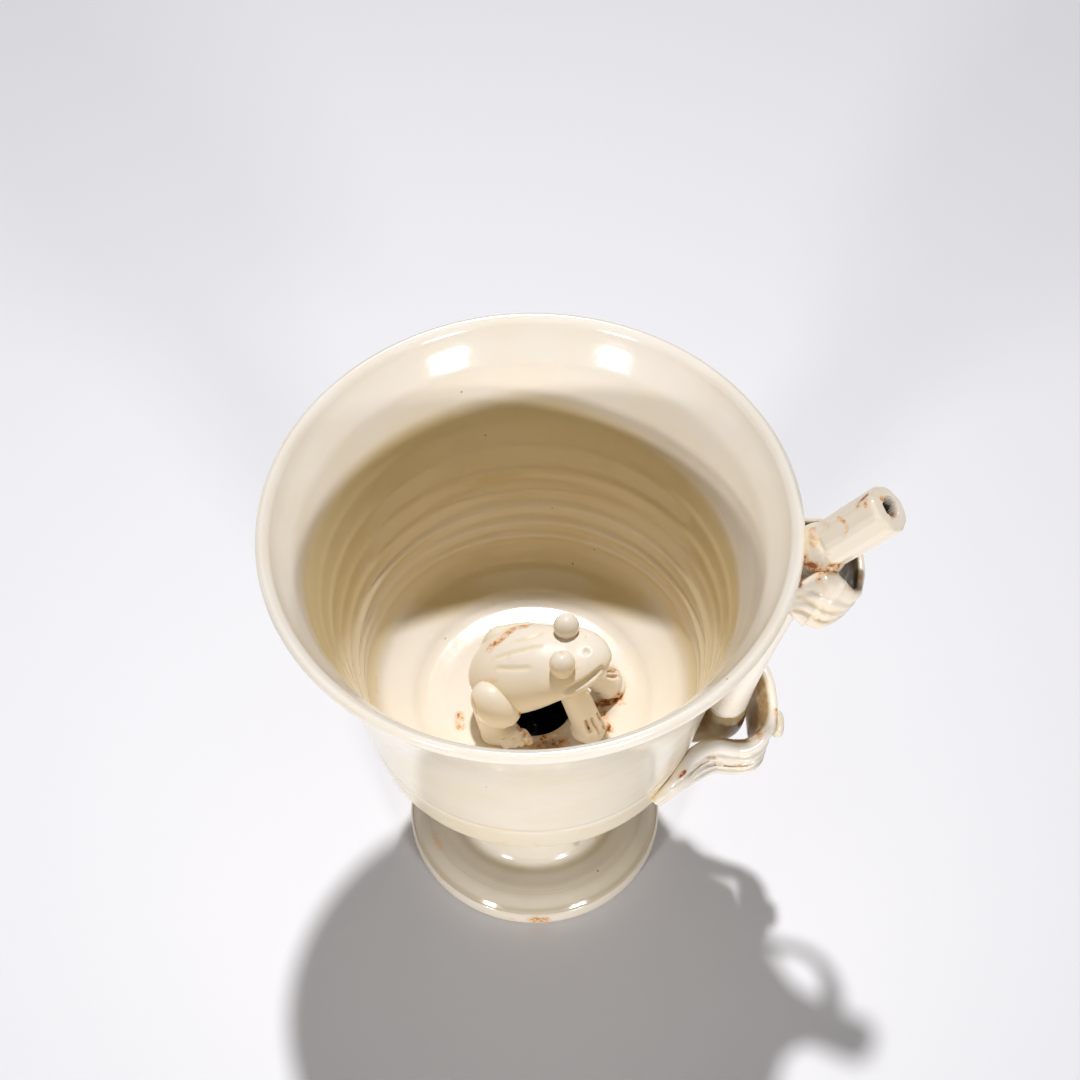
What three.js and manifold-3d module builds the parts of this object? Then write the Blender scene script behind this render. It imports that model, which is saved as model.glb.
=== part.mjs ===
// Porcelain sipping cup: a thrown bowl on a hollow stem foot, with a frog sitting over the drinking hole in its floor
// and a suction tube strapped to its wall. Drink runs under the frog into the closed stem, along a duct in the floor
// slab and up the tube to the mouthpiece. Millimetres, +Z up, heights counted from the table, cup axis at X = Y = 0.

import * as THREE from 'three';
import { mergeVertices } from 'three/addons/utils/BufferGeometryUtils.js';
import Module from 'manifold-3d';

const wasm = await Module();
wasm.setup();

// Joints between pieces: a thin film of slip, glazed over
const slipGap = 0.3;

// Bowl
const rimRadius = 45;
const rimHeight = 93.9;
const lipThickness = 2.4;
const wallThickness = 2.1;
const waistRadius = 29;
const waistHeight = 38.5;
const flareShare = 0.33;
const flarePower = 4.4;
const waistGrooveRise = 7.2;
const waistGrooveDepth = 0.35;
const floorEdgeHeight = 43.6;
const floorDish = 3.8;
const floorFillet = 6;
const ringCount = 7;
const ringFirstRise = 6.8;
const ringPitch = 3.6;
const ringSpread = 0.22;
const ringDepth = 0.3;
const bowlSides = 44;

// Floor hole, duct and the slab that they pass through
const holeRadius = 7;
const slabThickness = 5;
const ductRadius = 1.3;
const ductHeight = 40.3;
const ductDrop = 3.4;

// Stem and foot
const stemRadius = 12;
const stemWall = 3.2;
const stemTopHeight = 30;
const septumHeight = 11;
const septumThickness = 3.5;
const flareTopHeight = 18;
const flareUpperReach = 0.3;
const flareUpperHeight = 13;
const flareLowerReach = 5;
const flareLowerHeight = 7;
const footRadius = 23;
const footEdgeHeight = 3.6;
const footEdgeRound = 0.8;
const footRingWidth = 3.4;
const recessReach = 4;
const recessHeight = 2;
const footSides = 36;

// Suction tube
const tubeRadius = 3.9;
const tubeSeat = 0.6;
const boreRadius = 1.3;
const tubeAzimuth = THREE.MathUtils.degToRad(-3.6);
const tubeBendRise = 6.2;
const tubeBendBow = 6.4;
const kneeDrop = 4.8;
const tubeSides = 16;

// Mouthpiece
const mouthLength = 16;
const mouthRise = THREE.MathUtils.degToRad(48);
const mouthKnuckleRadius = 4.7;
const mouthTipRadius = 4.1;
const mouthBevel = 0.7;
const mouthFacets = 8;

// Straps round the tube: ribbons of clay, tacked to the wall on both sides
const strapRib = 0.3;
const lowerStrapWidth = 6.4;
const lowerStrapThickness = 3.2;
const lowerStrapRise = 2.9;
const lowerStrapSag = 3.9;
const lowerStrapReach = 7.4;
const lowerStrapFront = 8.4;
const lowerStrapBehind = 8.4;
const upperStrapWidth = 10.6;
const upperStrapNeck = 6.2;
const upperStrapThickness = 1.9;
const upperStrapDrop = 9.4;
const upperStrapSag = 3.7;
const upperStrapReach = 8.2;
const upperStrapFront = 6.9;
const upperStrapBehind = 9.6;
const studRadius = 2.4;
const studThickness = 1.9;
const upperStudRadius = 1.9;
const upperStudThickness = 1.2;

// Frog
const frogForward = 1;
const frogAside = -2;
const frogYaw = THREE.MathUtils.degToRad(-6);
const trunkCentre = -3;
const trunkLength = 18.4;
const trunkHalfWidth = 8.1;
const trunkHeight = 12.7;
const trunkRise = 6.4;
const trunkFall = 7;
const headCentre = 5;
const headBackLength = 7.6;
const headFrontLength = 7.8;
const headHalfWidth = 6.9;
const headRise = 4.5;
const headFall = 4.4;
const spineSlope = 0.32;
const mouthGroove = 0.9;
const mouthGrooveDepth = 1.1;
const mouthLineDrop = 1.6;
const nostrilRadius = 0.5;
const nostrilSpread = 1.6;
const nostrilForward = 8.2;
const eyeRadius = 2.25;
const eyeSpread = 4;
const eyeForward = 4.6;
const eyeHeight = 20.7;
const thighRadius = 4.1;
const frogKneeRadius = 2.9;
const hipBack = 7.4;
const hipAside = 6.1;
const hipHeight = 11.9;
const frogKneeBack = 3.7;
const frogKneeAside = 7.3;
const frogKneeHeight = 8.9;
const farThighRadius = 3.5;
const farHipBack = 8;
const farHipAside = 4.9;
const farHipHeight = 11.1;
const farKneeBack = 2.2;
const farKneeAside = 5.7;
const farKneeHeight = 12.8;
const hockBack = 8.1;
const hockAside = 6.5;
const hockHeight = 8.6;
const heelHeight = 1.6;
const soleLength = 3.6;
const soleHeight = 0.9;
const hindToeSpread = 3.4;
const hindToeLength = 2.5;
const shoulderForward = 6.2;
const shoulderAside = 3;
const shoulderHeight = 11;
const foreStep = 2.1;
const wristForward = 9;
const wristAside = 4.3;
const wristHeight = 2.4;
const palmLength = 1.2;
const foreToeSpread = 3;
const foreToeLength = 1.8;
const legRadius = 2.2;
const toeRadius = 0.85;
const toeCount = 4;

const glaze = { color: 0xeadfc6, roughness: 0.22, metalness: 0 };

// Closed solids from three.js geometry

function toSolid(geometry) {
  const bare = geometry.index ? geometry.toNonIndexed() : geometry.clone();
  bare.deleteAttribute('normal');
  bare.deleteAttribute('uv');
  const welded = mergeVertices(bare, 1e-4);
  const corners = welded.index.array;
  const points = welded.attributes.position;
  const kept = [];
  let volume = 0;
  const a = new THREE.Vector3();
  const b = new THREE.Vector3();
  const c = new THREE.Vector3();
  for (let i = 0; i < corners.length; i += 3) {
    const [p, q, r] = [corners[i], corners[i + 1], corners[i + 2]];
    if (p === q || q === r || r === p) continue;
    kept.push([p, q, r]);
    a.fromBufferAttribute(points, p);
    b.fromBufferAttribute(points, q);
    c.fromBufferAttribute(points, r);
    volume += a.dot(b.cross(c));
  }
  const ordered = volume > 0 ? kept : kept.map(([p, q, r]) => [p, r, q]);
  const mesh = new wasm.Mesh({
    numProp: 3,
    vertProperties: new Float32Array(points.array),
    triVerts: new Uint32Array(ordered.flat()),
  });
  return new wasm.Manifold(mesh);
}

function toGeometry(solid) {
  const mesh = solid.getMesh();
  const geometry = new THREE.BufferGeometry();
  geometry.setAttribute('position', new THREE.BufferAttribute(mesh.vertProperties, 3));
  geometry.setIndex(new THREE.BufferAttribute(mesh.triVerts, 1));
  geometry.computeVertexNormals();
  return geometry;
}

function unite(parts) {
  return parts.reduce((whole, part) => whole.add(part));
}

function turned(profile, sides) {
  const geometry = new THREE.LatheGeometry(profile, sides);
  geometry.rotateX(Math.PI / 2);
  return geometry;
}

function ellipsoid(centre, half, pitch = 0, sides = 16, bands = 10) {
  const geometry = new THREE.SphereGeometry(1, sides, bands);
  geometry.rotateX(Math.PI / 2);
  geometry.scale(half.x, half.y, half.z);
  geometry.rotateY(pitch);
  geometry.translate(centre.x, centre.y, centre.z);
  return toSolid(geometry);
}

function limb(from, to, startRadius, endRadius, sides = 10, steps = 3) {
  const along = new THREE.Vector3().subVectors(to, from);
  const length = along.length();
  const profile = [];
  for (let i = 0; i <= steps; i += 1) {
    const angle = (i / steps - 1) * (Math.PI / 2);
    profile.push(new THREE.Vector2(startRadius * Math.cos(angle), startRadius * Math.sin(angle)));
  }
  for (let i = 0; i <= steps; i += 1) {
    const angle = (i / steps) * (Math.PI / 2);
    profile.push(new THREE.Vector2(endRadius * Math.cos(angle), length + endRadius * Math.sin(angle)));
  }
  profile[0].x = 0;
  profile[profile.length - 1].x = 0;
  const geometry = new THREE.LatheGeometry(profile, sides);
  const turn = new THREE.Quaternion().setFromUnitVectors(new THREE.Vector3(0, 1, 0), along.normalize());
  geometry.applyQuaternion(turn);
  geometry.translate(from.x, from.y, from.z);
  return toSolid(geometry);
}

// A skin drawn over rings of points, closed at both ends
function loft(rings) {
  const around = rings[0].length;
  const points = rings.flat();
  const first = new THREE.Vector3();
  const last = new THREE.Vector3();
  rings[0].forEach((p) => first.addScaledVector(p, 1 / around));
  rings[rings.length - 1].forEach((p) => last.addScaledVector(p, 1 / around));
  points.push(first, last);
  const faces = [];
  for (let i = 0; i + 1 < rings.length; i += 1) {
    for (let j = 0; j < around; j += 1) {
      const next = (j + 1) % around;
      const [a, b] = [i * around + j, i * around + next];
      faces.push(a, b, b + around, a, b + around, a + around);
    }
  }
  const end = (rings.length - 1) * around;
  for (let j = 0; j < around; j += 1) {
    const next = (j + 1) % around;
    faces.push(points.length - 2, next, j);
    faces.push(points.length - 1, end + j, end + next);
  }
  const geometry = new THREE.BufferGeometry().setFromPoints(points);
  geometry.setIndex(faces);
  return geometry;
}

function rod(from, to, radius) {
  const along = new THREE.Vector3().subVectors(to, from);
  const geometry = new THREE.CylinderGeometry(radius, radius, along.length(), 12);
  geometry.applyQuaternion(new THREE.Quaternion().setFromUnitVectors(new THREE.Vector3(0, 1, 0), along.normalize()));
  geometry.translate((from.x + to.x) / 2, (from.y + to.y) / 2, (from.z + to.z) / 2);
  return toSolid(geometry);
}

// Shape of the bowl: radii and heights that its neighbours share

const lipHeight = rimHeight - lipThickness / 2;

function wallRadiusAt(height) {
  const t = Math.max(0, (height - waistHeight) / (lipHeight - waistHeight));
  return waistRadius + (rimRadius - waistRadius) * ((1 - flareShare) * t + flareShare * t ** flarePower);
}

function floorHeightAt(radius) {
  const edge = waistRadius - wallThickness - floorFillet;
  const t = Math.min(1, radius / edge);
  return floorEdgeHeight - floorDish * (1 - t * t);
}

function onWall(azimuth, height, standOff) {
  const reach = wallRadiusAt(height) + standOff;
  return new THREE.Vector3(reach * Math.cos(azimuth), reach * Math.sin(azimuth), height);
}

function outerProfile(grow) {
  const points = [];
  const lipCentre = rimRadius - lipThickness / 2;
  const lipSteps = 6;
  for (let i = 0; i <= lipSteps; i += 1) {
    const angle = Math.PI * (1 - i / lipSteps);
    const reach = lipThickness / 2 + grow;
    points.push(new THREE.Vector2(lipCentre + reach * Math.cos(angle), lipHeight + reach * Math.sin(angle)));
  }
  const wallSteps = 8;
  const grooveHeight = waistHeight + waistGrooveRise;
  for (let i = 1; i < wallSteps; i += 1) {
    const height = THREE.MathUtils.lerp(lipHeight, grooveHeight + 1, (i / wallSteps) ** 0.8);
    points.push(new THREE.Vector2(wallRadiusAt(height) + grow, height));
  }
  points.push(new THREE.Vector2(wallRadiusAt(grooveHeight + 0.8) + grow, grooveHeight + 0.8));
  points.push(new THREE.Vector2(wallRadiusAt(grooveHeight) - waistGrooveDepth + grow, grooveHeight));
  points.push(new THREE.Vector2(wallRadiusAt(grooveHeight - 0.8) + grow, grooveHeight - 0.8));
  points.push(new THREE.Vector2(wallRadiusAt(waistHeight + 1.4) + grow, waistHeight + 1.4));
  points.push(new THREE.Vector2(waistRadius + grow, waistHeight));
  return points;
}

// Underside of the bowl: a shallow curve from the waist in to the seat of the stem
function undersideProfile(grow) {
  const seat = stemTopHeight + slipGap;
  const curve = new THREE.CubicBezierCurve(
    new THREE.Vector2(waistRadius + grow, waistHeight),
    new THREE.Vector2(waistRadius - 2.5 + grow, waistHeight - 3),
    new THREE.Vector2(stemRadius + 6, seat + 1.2 - grow),
    new THREE.Vector2(stemRadius, seat - grow),
  );
  return curve.getPoints(6).slice(1);
}

function buildBowl() {
  const floorEdge = waistRadius - wallThickness - floorFillet;
  const profile = [];
  for (const radius of [holeRadius, (holeRadius + floorEdge) / 2, floorEdge]) {
    profile.push(new THREE.Vector2(radius, floorHeightAt(radius)));
  }
  const wallFoot = floorEdgeHeight + floorFillet;
  const fillet = new THREE.QuadraticBezierCurve(
    new THREE.Vector2(floorEdge, floorEdgeHeight),
    new THREE.Vector2(waistRadius - wallThickness + 0.6, floorEdgeHeight + 0.4),
    new THREE.Vector2(wallRadiusAt(wallFoot) - wallThickness, wallFoot),
  );
  profile.push(...fillet.getPoints(4).slice(1));
  for (let i = 0; i < ringCount; i += 1) {
    const crest = floorEdgeHeight + ringFirstRise + i * ringPitch + i * i * ringSpread;
    const valley = crest + (ringPitch + (2 * i + 1) * ringSpread) / 2;
    profile.push(new THREE.Vector2(wallRadiusAt(crest) - wallThickness - ringDepth, crest));
    profile.push(new THREE.Vector2(wallRadiusAt(valley) - wallThickness, valley));
  }
  const upper = profile[profile.length - 1].y;
  for (const share of [0.3, 0.55, 0.78, 0.92]) {
    const height = THREE.MathUtils.lerp(upper, lipHeight, share);
    profile.push(new THREE.Vector2(wallRadiusAt(height) - wallThickness, height));
  }
  profile.push(...outerProfile(0));
  profile.push(...undersideProfile(0));
  const slabBottom = floorHeightAt(holeRadius) - slabThickness;
  const neck = stemRadius - stemWall;
  profile.push(new THREE.Vector2(neck, stemTopHeight + slipGap));
  profile.push(new THREE.Vector2(neck, slabBottom - 1));
  profile.push(new THREE.Vector2(holeRadius + 0.8, slabBottom));
  profile.push(new THREE.Vector2(holeRadius, slabBottom + 0.8));
  profile.push(new THREE.Vector2(holeRadius, floorHeightAt(holeRadius)));
  return toSolid(turned(profile, bowlSides)).subtract(ductCutter());
}

// The outside of the bowl, swollen by the film of slip, which trims what is luted to it
function bowlEnvelope() {
  const profile = [new THREE.Vector2(0, rimHeight + slipGap), ...outerProfile(slipGap), ...undersideProfile(slipGap)];
  profile.push(new THREE.Vector2(0, stemTopHeight));
  return toSolid(turned(profile, bowlSides));
}

// The floor and what is under it, swollen upward, which trims the frog's feet
function floorEnvelope() {
  const reach = waistRadius;
  const profile = [new THREE.Vector2(0, floorHeightAt(0) + slipGap)];
  for (const share of [0.25, 0.5, 0.75, 1]) {
    profile.push(new THREE.Vector2(reach * share, floorHeightAt(reach * share) + slipGap));
  }
  profile.push(new THREE.Vector2(reach, stemTopHeight), new THREE.Vector2(0, stemTopHeight));
  return turned(profile, 40);
}

// Duct through the slab, from the wall down to the hole
function ductLine() {
  const outer = onWall(tubeAzimuth, ductHeight, 0);
  const inner = new THREE.Vector3(Math.cos(tubeAzimuth), Math.sin(tubeAzimuth), 0).multiplyScalar(holeRadius);
  inner.z = ductHeight - ductDrop;
  return { outer, inner };
}

function ductCutter() {
  const { outer, inner } = ductLine();
  const along = new THREE.Vector3().subVectors(outer, inner).normalize();
  const from = inner.clone().addScaledVector(along, -2);
  const to = outer.clone().addScaledVector(along, 3);
  return rod(from, to, ductRadius);
}

// Hollow stem closed by a septum, over a flared foot with its own hollow
function buildFoot() {
  const chamber = stemRadius - stemWall;
  const septumTop = septumHeight + septumThickness;
  const ringInside = footRadius - footRingWidth;
  const profile = [new THREE.Vector2(0, septumTop)];
  profile.push(new THREE.Vector2(chamber - 1.5, septumTop), new THREE.Vector2(chamber, septumTop + 1.5));
  profile.push(new THREE.Vector2(chamber, stemTopHeight), new THREE.Vector2(stemRadius, stemTopHeight));
  const flare = new THREE.CubicBezierCurve(
    new THREE.Vector2(stemRadius, flareTopHeight),
    new THREE.Vector2(stemRadius + flareUpperReach, flareUpperHeight),
    new THREE.Vector2(stemRadius + flareLowerReach, flareLowerHeight),
    new THREE.Vector2(footRadius - footEdgeRound, footEdgeHeight),
  );
  profile.push(...flare.getPoints(8));
  profile.push(new THREE.Vector2(footRadius - footEdgeRound / 4, footEdgeHeight - footEdgeRound));
  profile.push(new THREE.Vector2(footRadius, footEdgeHeight / 2));
  profile.push(new THREE.Vector2(footRadius - footEdgeRound / 4, footEdgeRound * 0.6));
  profile.push(new THREE.Vector2(footRadius - footEdgeRound, 0));
  profile.push(new THREE.Vector2(ringInside, 0));
  const hollow = new THREE.CubicBezierCurve(
    new THREE.Vector2(ringInside, 0),
    new THREE.Vector2(ringInside - recessReach, recessHeight),
    new THREE.Vector2(chamber, recessHeight * 0.8),
    new THREE.Vector2(chamber, septumHeight - footEdgeRound),
  );
  profile.push(...hollow.getPoints(6).slice(1));
  profile.push(new THREE.Vector2(chamber - footEdgeRound, septumHeight), new THREE.Vector2(0, septumHeight));
  return toSolid(turned(profile, footSides));
}

// Centre line of the tube: in from the duct, round the bend and up along the wall to the knee

const kneeHeight = rimHeight - kneeDrop;
const tubeStandOff = tubeRadius + tubeSeat;

function tubePoint(height) {
  return onWall(tubeAzimuth, height, tubeStandOff);
}

function tubeLine() {
  const { outer, inner } = ductLine();
  const into = new THREE.Vector3().subVectors(inner, outer).normalize();
  const start = outer.clone().addScaledVector(into, tubeRadius);
  const bendTop = tubePoint(ductHeight + tubeBendRise);
  const bend = new THREE.CubicBezierCurve3(
    start,
    outer.clone().addScaledVector(into, -tubeBendBow / 2),
    tubePoint(ductHeight + tubeBendRise - tubeBendBow * 0.7),
    bendTop,
  );
  const points = bend.getPoints(6);
  const runSteps = 5;
  for (let i = 1; i <= runSteps; i += 1) {
    points.push(tubePoint(THREE.MathUtils.lerp(bendTop.z, kneeHeight, i / runSteps)));
  }
  const end = points[points.length - 1];
  const before = points[points.length - 2];
  const heading = new THREE.Vector3().subVectors(end, before).normalize();
  return { curve: new THREE.CatmullRomCurve3(points), heading, end };
}

function mouthHeading() {
  return new THREE.Vector3(Math.cos(mouthRise), 0, Math.sin(mouthRise));
}

function buildTube() {
  const { curve, end } = tubeLine();
  const section = new THREE.Shape();
  section.absarc(0, 0, tubeRadius, 0, Math.PI * 2);
  const bore = new THREE.Path();
  bore.absarc(0, 0, boreRadius, 0, Math.PI * 2, true);
  section.holes.push(bore);
  const geometry = new THREE.ExtrudeGeometry(section, {
    steps: 13,
    curveSegments: tubeSides / 2,
    bevelEnabled: false,
    extrudePath: curve,
  });
  const reach = mouthKnuckleRadius + slipGap;
  const socket = ellipsoid(end, new THREE.Vector3(reach, reach, reach), 0, 20, 12);
  return toSolid(geometry).subtract(socket).subtract(bowlEnvelope());
}

// Knife-pared tube with soft facets, which grows out of a round knuckle on the end of the suction tube
function buildMouthpiece() {
  const { end, heading } = tubeLine();
  const section = new THREE.Shape();
  const softness = 0.28;
  for (let i = 0; i < 2 * mouthFacets; i += 1) {
    const lean = i % 2 === 0 ? -softness : softness;
    const angle = ((Math.floor(i / 2) + 0.5 + lean) / mouthFacets) * Math.PI * 2;
    const [x, y] = [mouthTipRadius * Math.cos(angle), mouthTipRadius * Math.sin(angle)];
    if (i === 0) section.moveTo(x, y);
    else section.lineTo(x, y);
  }
  section.closePath();
  const shaft = new THREE.ExtrudeGeometry(section, { depth: mouthLength, steps: 1, bevelEnabled: false });
  const inside = mouthTipRadius - mouthBevel;
  const outside = mouthTipRadius + 1;
  const bevel = [
    new THREE.Vector2(inside, mouthLength + 1),
    new THREE.Vector2(inside, mouthLength),
    new THREE.Vector2(outside, mouthLength - outside + inside),
    new THREE.Vector2(outside, mouthLength + 1),
    new THREE.Vector2(inside, mouthLength + 1),
  ];
  const knuckle = new THREE.SphereGeometry(mouthKnuckleRadius, 20, 12);
  const solid = toSolid(shaft).subtract(toSolid(turned(bevel, tubeSides))).add(toSolid(knuckle));
  const frame = new THREE.Matrix4().makeRotationFromQuaternion(
    new THREE.Quaternion().setFromUnitVectors(new THREE.Vector3(0, 0, 1), mouthHeading()),
  );
  frame.setPosition(end);
  const placed = toSolid(toGeometry(solid).applyMatrix4(frame));
  const upper = rod(end, end.clone().addScaledVector(mouthHeading(), mouthLength * 1.2), boreRadius);
  const lower = rod(end, end.clone().addScaledVector(heading, -2 * mouthKnuckleRadius), boreRadius);
  return placed.subtract(upper.add(lower)).subtract(bowlEnvelope());
}

// A ribbed strap of clay: it starts as a leaf on the wall, leaves it to pass round the tube, and comes back to the wall

function strapSection(width, thickness) {
  const half = width / 2;
  const out = thickness / 2;
  const points = [];
  const ribs = 3;
  for (let i = 0; i <= 2 * ribs; i += 1) {
    const across = THREE.MathUtils.lerp(-0.82, 0.82, i / (2 * ribs)) * half;
    const rib = i % 2 === 0 ? 0 : -strapRib;
    const round = Math.sqrt(1 - (across / half) ** 2 * 0.5);
    points.push([across, out * round + rib]);
  }
  points.push([half, 0], [0.7 * half, -out], [-0.7 * half, -out], [-half, 0]);
  return points;
}

function strapRings(curve, stations, widthAt, thicknessAt, leanAt) {
  const rings = [];
  for (let i = 0; i <= stations; i += 1) {
    const share = i / stations;
    const centre = curve.getPointAt(share);
    const ahead = curve.getTangentAt(share);
    const out = new THREE.Vector3(0, 0, 1).cross(ahead).negate().normalize();
    const up = new THREE.Vector3().crossVectors(out, ahead).normalize();
    out.applyAxisAngle(ahead, leanAt(share));
    up.applyAxisAngle(ahead, leanAt(share));
    const section = strapSection(widthAt(share), thicknessAt(share));
    rings.push(section.map(([across, away]) => centre.clone().addScaledVector(up, across).addScaledVector(out, away)));
  }
  return rings;
}

// The lean at each end follows the wall; between them the strap is twisted to face up or out
function twist(share, corner, start, front, side) {
  const blend = THREE.MathUtils.smoothstep;
  const first = THREE.MathUtils.lerp(start, front, blend(share, 0.04, 0.2));
  return THREE.MathUtils.lerp(first, side, blend(share, corner - 0.09, corner + 0.07));
}

function leaf(share, full, tip) {
  const grown = Math.min(1, share / 0.28);
  const closing = Math.min(1, (1 - share) / 0.14);
  return tip + (full - tip) * Math.sin((Math.PI / 2) * Math.min(grown, closing));
}

// The lower strap starts low on the wall, swings out and down past the tube, and climbs back to the wall behind it;
// on its way round the tube, forward, aside and down are shares of its reach, its swing to that side and its sag
function lowerStrapLine() {
  const skin = lowerStrapThickness / 2;
  const high = waistHeight + lowerStrapRise;
  const sag = lowerStrapSag;
  const roundTube = (forward, aside, down) => {
    const height = high - down * sag;
    const centre = tubePoint(height);
    const swing = aside * (aside < 0 ? lowerStrapFront : lowerStrapBehind);
    return new THREE.Vector3(centre.x + forward * lowerStrapReach, centre.y + swing, height);
  };
  const degrees = THREE.MathUtils.degToRad;
  return new THREE.CatmullRomCurve3([
    onWall(tubeAzimuth - degrees(41), high - sag * 0.5, skin * 0.4),
    onWall(tubeAzimuth - degrees(33.5), high, skin * 0.8),
    onWall(tubeAzimuth - degrees(25), high, skin + slipGap),
    roundTube(-0.32, -1.17, 0.36),
    roundTube(0.24, -1.05, 0.9),
    roundTube(0.65, -0.95, 1),
    roundTube(0.95, -0.57, 0.85),
    roundTube(1, 0.19, 0.54),
    roundTube(0.78, 0.76, 0.23),
    roundTube(0.05, 1.07, 0),
    onWall(tubeAzimuth + degrees(21), high + sag * 0.15, skin + slipGap),
    onWall(tubeAzimuth + degrees(28), high + sag * 0.2, skin * 0.6),
  ]);
}

// The upper strap hangs from just under the lip, passes in front of the tube and returns behind the mouthpiece
function upperStrapLine() {
  const skin = upperStrapThickness / 2;
  const high = rimHeight - upperStrapDrop;
  const sag = upperStrapSag;
  const centre = tubePoint(high);
  const roundTube = (forward, aside, down) => {
    const swing = aside * (aside < 0 ? upperStrapFront : upperStrapBehind);
    return new THREE.Vector3(centre.x + forward * upperStrapReach, centre.y + swing, high - down * sag);
  };
  const degrees = THREE.MathUtils.degToRad;
  return new THREE.CatmullRomCurve3([
    onWall(tubeAzimuth - degrees(13), high + sag * 0.43, skin * 0.5),
    onWall(tubeAzimuth - degrees(11), high + sag * 0.38, skin + slipGap + sag * 0.27),
    roundTube(0.16, -0.99, 0.22),
    roundTube(0.49, -1.03, 0.4),
    roundTube(0.79, -0.88, 0.78),
    roundTube(0.98, -0.5, 1.03),
    roundTube(1, 0.09, 0.62),
    roundTube(0.91, 0.51, 0.46),
    roundTube(0.63, 0.85, 0.57),
    roundTube(0.15, 1, 0.81),
    onWall(tubeAzimuth + degrees(15.5), high - sag * 1.05, skin + slipGap),
    onWall(tubeAzimuth + degrees(19), high - sag * 1.11, skin * 0.5),
  ]);
}

function buildLowerStrap() {
  const width = (share) => leaf(share, lowerStrapWidth, lowerStrapWidth * 0.35);
  const thickness = (share) => leaf(share, lowerStrapThickness, lowerStrapThickness * 0.5);
  const lean = (share) => twist(share, 0.54, 0.25, -0.3, 0);
  return toSolid(loft(strapRings(lowerStrapLine(), 26, width, thickness, lean))).subtract(bowlEnvelope());
}

function buildUpperStrap() {
  const blend = THREE.MathUtils.smoothstep;
  const swell = (share) => blend(share, 0.02, 0.16) - blend(share, 0.2, 0.36);
  const full = (share) => THREE.MathUtils.lerp(upperStrapNeck, upperStrapWidth, swell(share));
  const width = (share) => leaf(share, full(share), upperStrapNeck * 0.6);
  const thickness = (share) => leaf(share, upperStrapThickness, upperStrapThickness * 0.6);
  const lean = (share) => twist(share, 0.34, 0, -0.4, 0.35);
  return toSolid(loft(strapRings(upperStrapLine(), 24, width, thickness, lean))).subtract(bowlEnvelope());
}

// A pellet of clay pressed on the strap like a rivet head
function buildStud(curve, share, skin, radius, thickness) {
  const profile = [new THREE.Vector2(0, 0), new THREE.Vector2(radius * 0.8, 0)];
  const steps = 4;
  for (let i = 0; i <= steps; i += 1) {
    const angle = (i / steps) * (Math.PI / 2);
    const reach = radius * (0.55 + 0.45 * Math.cos(angle));
    profile.push(new THREE.Vector2(reach, thickness * (0.3 + 0.7 * Math.sin(angle))));
  }
  profile.push(new THREE.Vector2(0, thickness));
  const geometry = new THREE.LatheGeometry(profile, 18);
  const ahead = curve.getTangentAt(share);
  const out = new THREE.Vector3(0, 0, 1).cross(ahead).negate().normalize();
  geometry.applyQuaternion(new THREE.Quaternion().setFromUnitVectors(new THREE.Vector3(0, 1, 0), out));
  const seat = curve.getPointAt(share).addScaledVector(out, skin + slipGap);
  geometry.translate(seat.x, seat.y, seat.z);
  return toSolid(geometry);
}

// Frog, in a frame of its own: origin on the floor under its middle, +X the way it faces

// Two swellings, trunk and head, strung on a rising spine; where they meet, one runs softly into the other
function swelling(x) {
  const trunk = (x - trunkCentre) / (trunkLength / 2);
  const head = (x - headCentre) / (x < headCentre ? headBackLength : headFrontLength);
  const trunkShare = Math.sqrt(Math.max(0, 1 - trunk ** 2));
  const headShare = x < headCentre ? Math.sqrt(Math.max(0, 1 - head ** 2)) : Math.max(0, 1 - head ** 1.7) ** 0.58;
  const merge = (a, b) => ((a * trunkShare) ** 6 + (b * headShare) ** 6) ** (1 / 6);
  return {
    level: trunkHeight + spineSlope * (x - trunkCentre),
    half: merge(trunkHalfWidth, headHalfWidth),
    rise: merge(trunkRise, headRise),
    fall: merge(trunkFall, headFall),
  };
}

function frogSkin(grow) {
  const stations = 17;
  const around = 22;
  const [rump, snout] = [trunkCentre - trunkLength / 2, headCentre + headFrontLength];
  const rings = [];
  for (let i = 0; i <= stations; i += 1) {
    const share = 0.5 - 0.5 * Math.cos((Math.PI * i) / stations);
    const inner = THREE.MathUtils.lerp(rump, snout, 0.001 + 0.998 * share);
    const { level, half, rise, fall } = swelling(inner);
    const x = inner + grow * (2 * share - 1);
    const ring = [];
    for (let j = 0; j < around; j += 1) {
      const angle = (j / around) * Math.PI * 2;
      const lift = (Math.sin(angle) > 0 ? rise : fall) + grow;
      ring.push(new THREE.Vector3(x, (half + grow) * Math.cos(angle), level + lift * Math.sin(angle)));
    }
    rings.push(ring);
  }
  return toSolid(loft(rings));
}

function buildFrogBody() {
  const span = headFrontLength + 4;
  const lip = new THREE.BoxGeometry(span, headHalfWidth * 2.4, mouthGroove);
  lip.rotateY(-Math.atan(spineSlope));
  const { level } = swelling(headCentre + span / 2 - 2);
  lip.translate(headCentre + span / 2 - 2, 0, level - mouthLineDrop);
  let body = frogSkin(0).subtract(toSolid(lip).subtract(frogSkin(-mouthGrooveDepth)));
  const bridge = swelling(nostrilForward);
  for (const side of [-1, 1]) {
    const centre = new THREE.Vector3(nostrilForward, side * nostrilSpread, bridge.level + bridge.rise - 0.3);
    const half = new THREE.Vector3(nostrilRadius, nostrilRadius, nostrilRadius * 1.6);
    body = body.subtract(ellipsoid(centre, half, 0, 8, 6));
  }
  return body;
}

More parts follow.
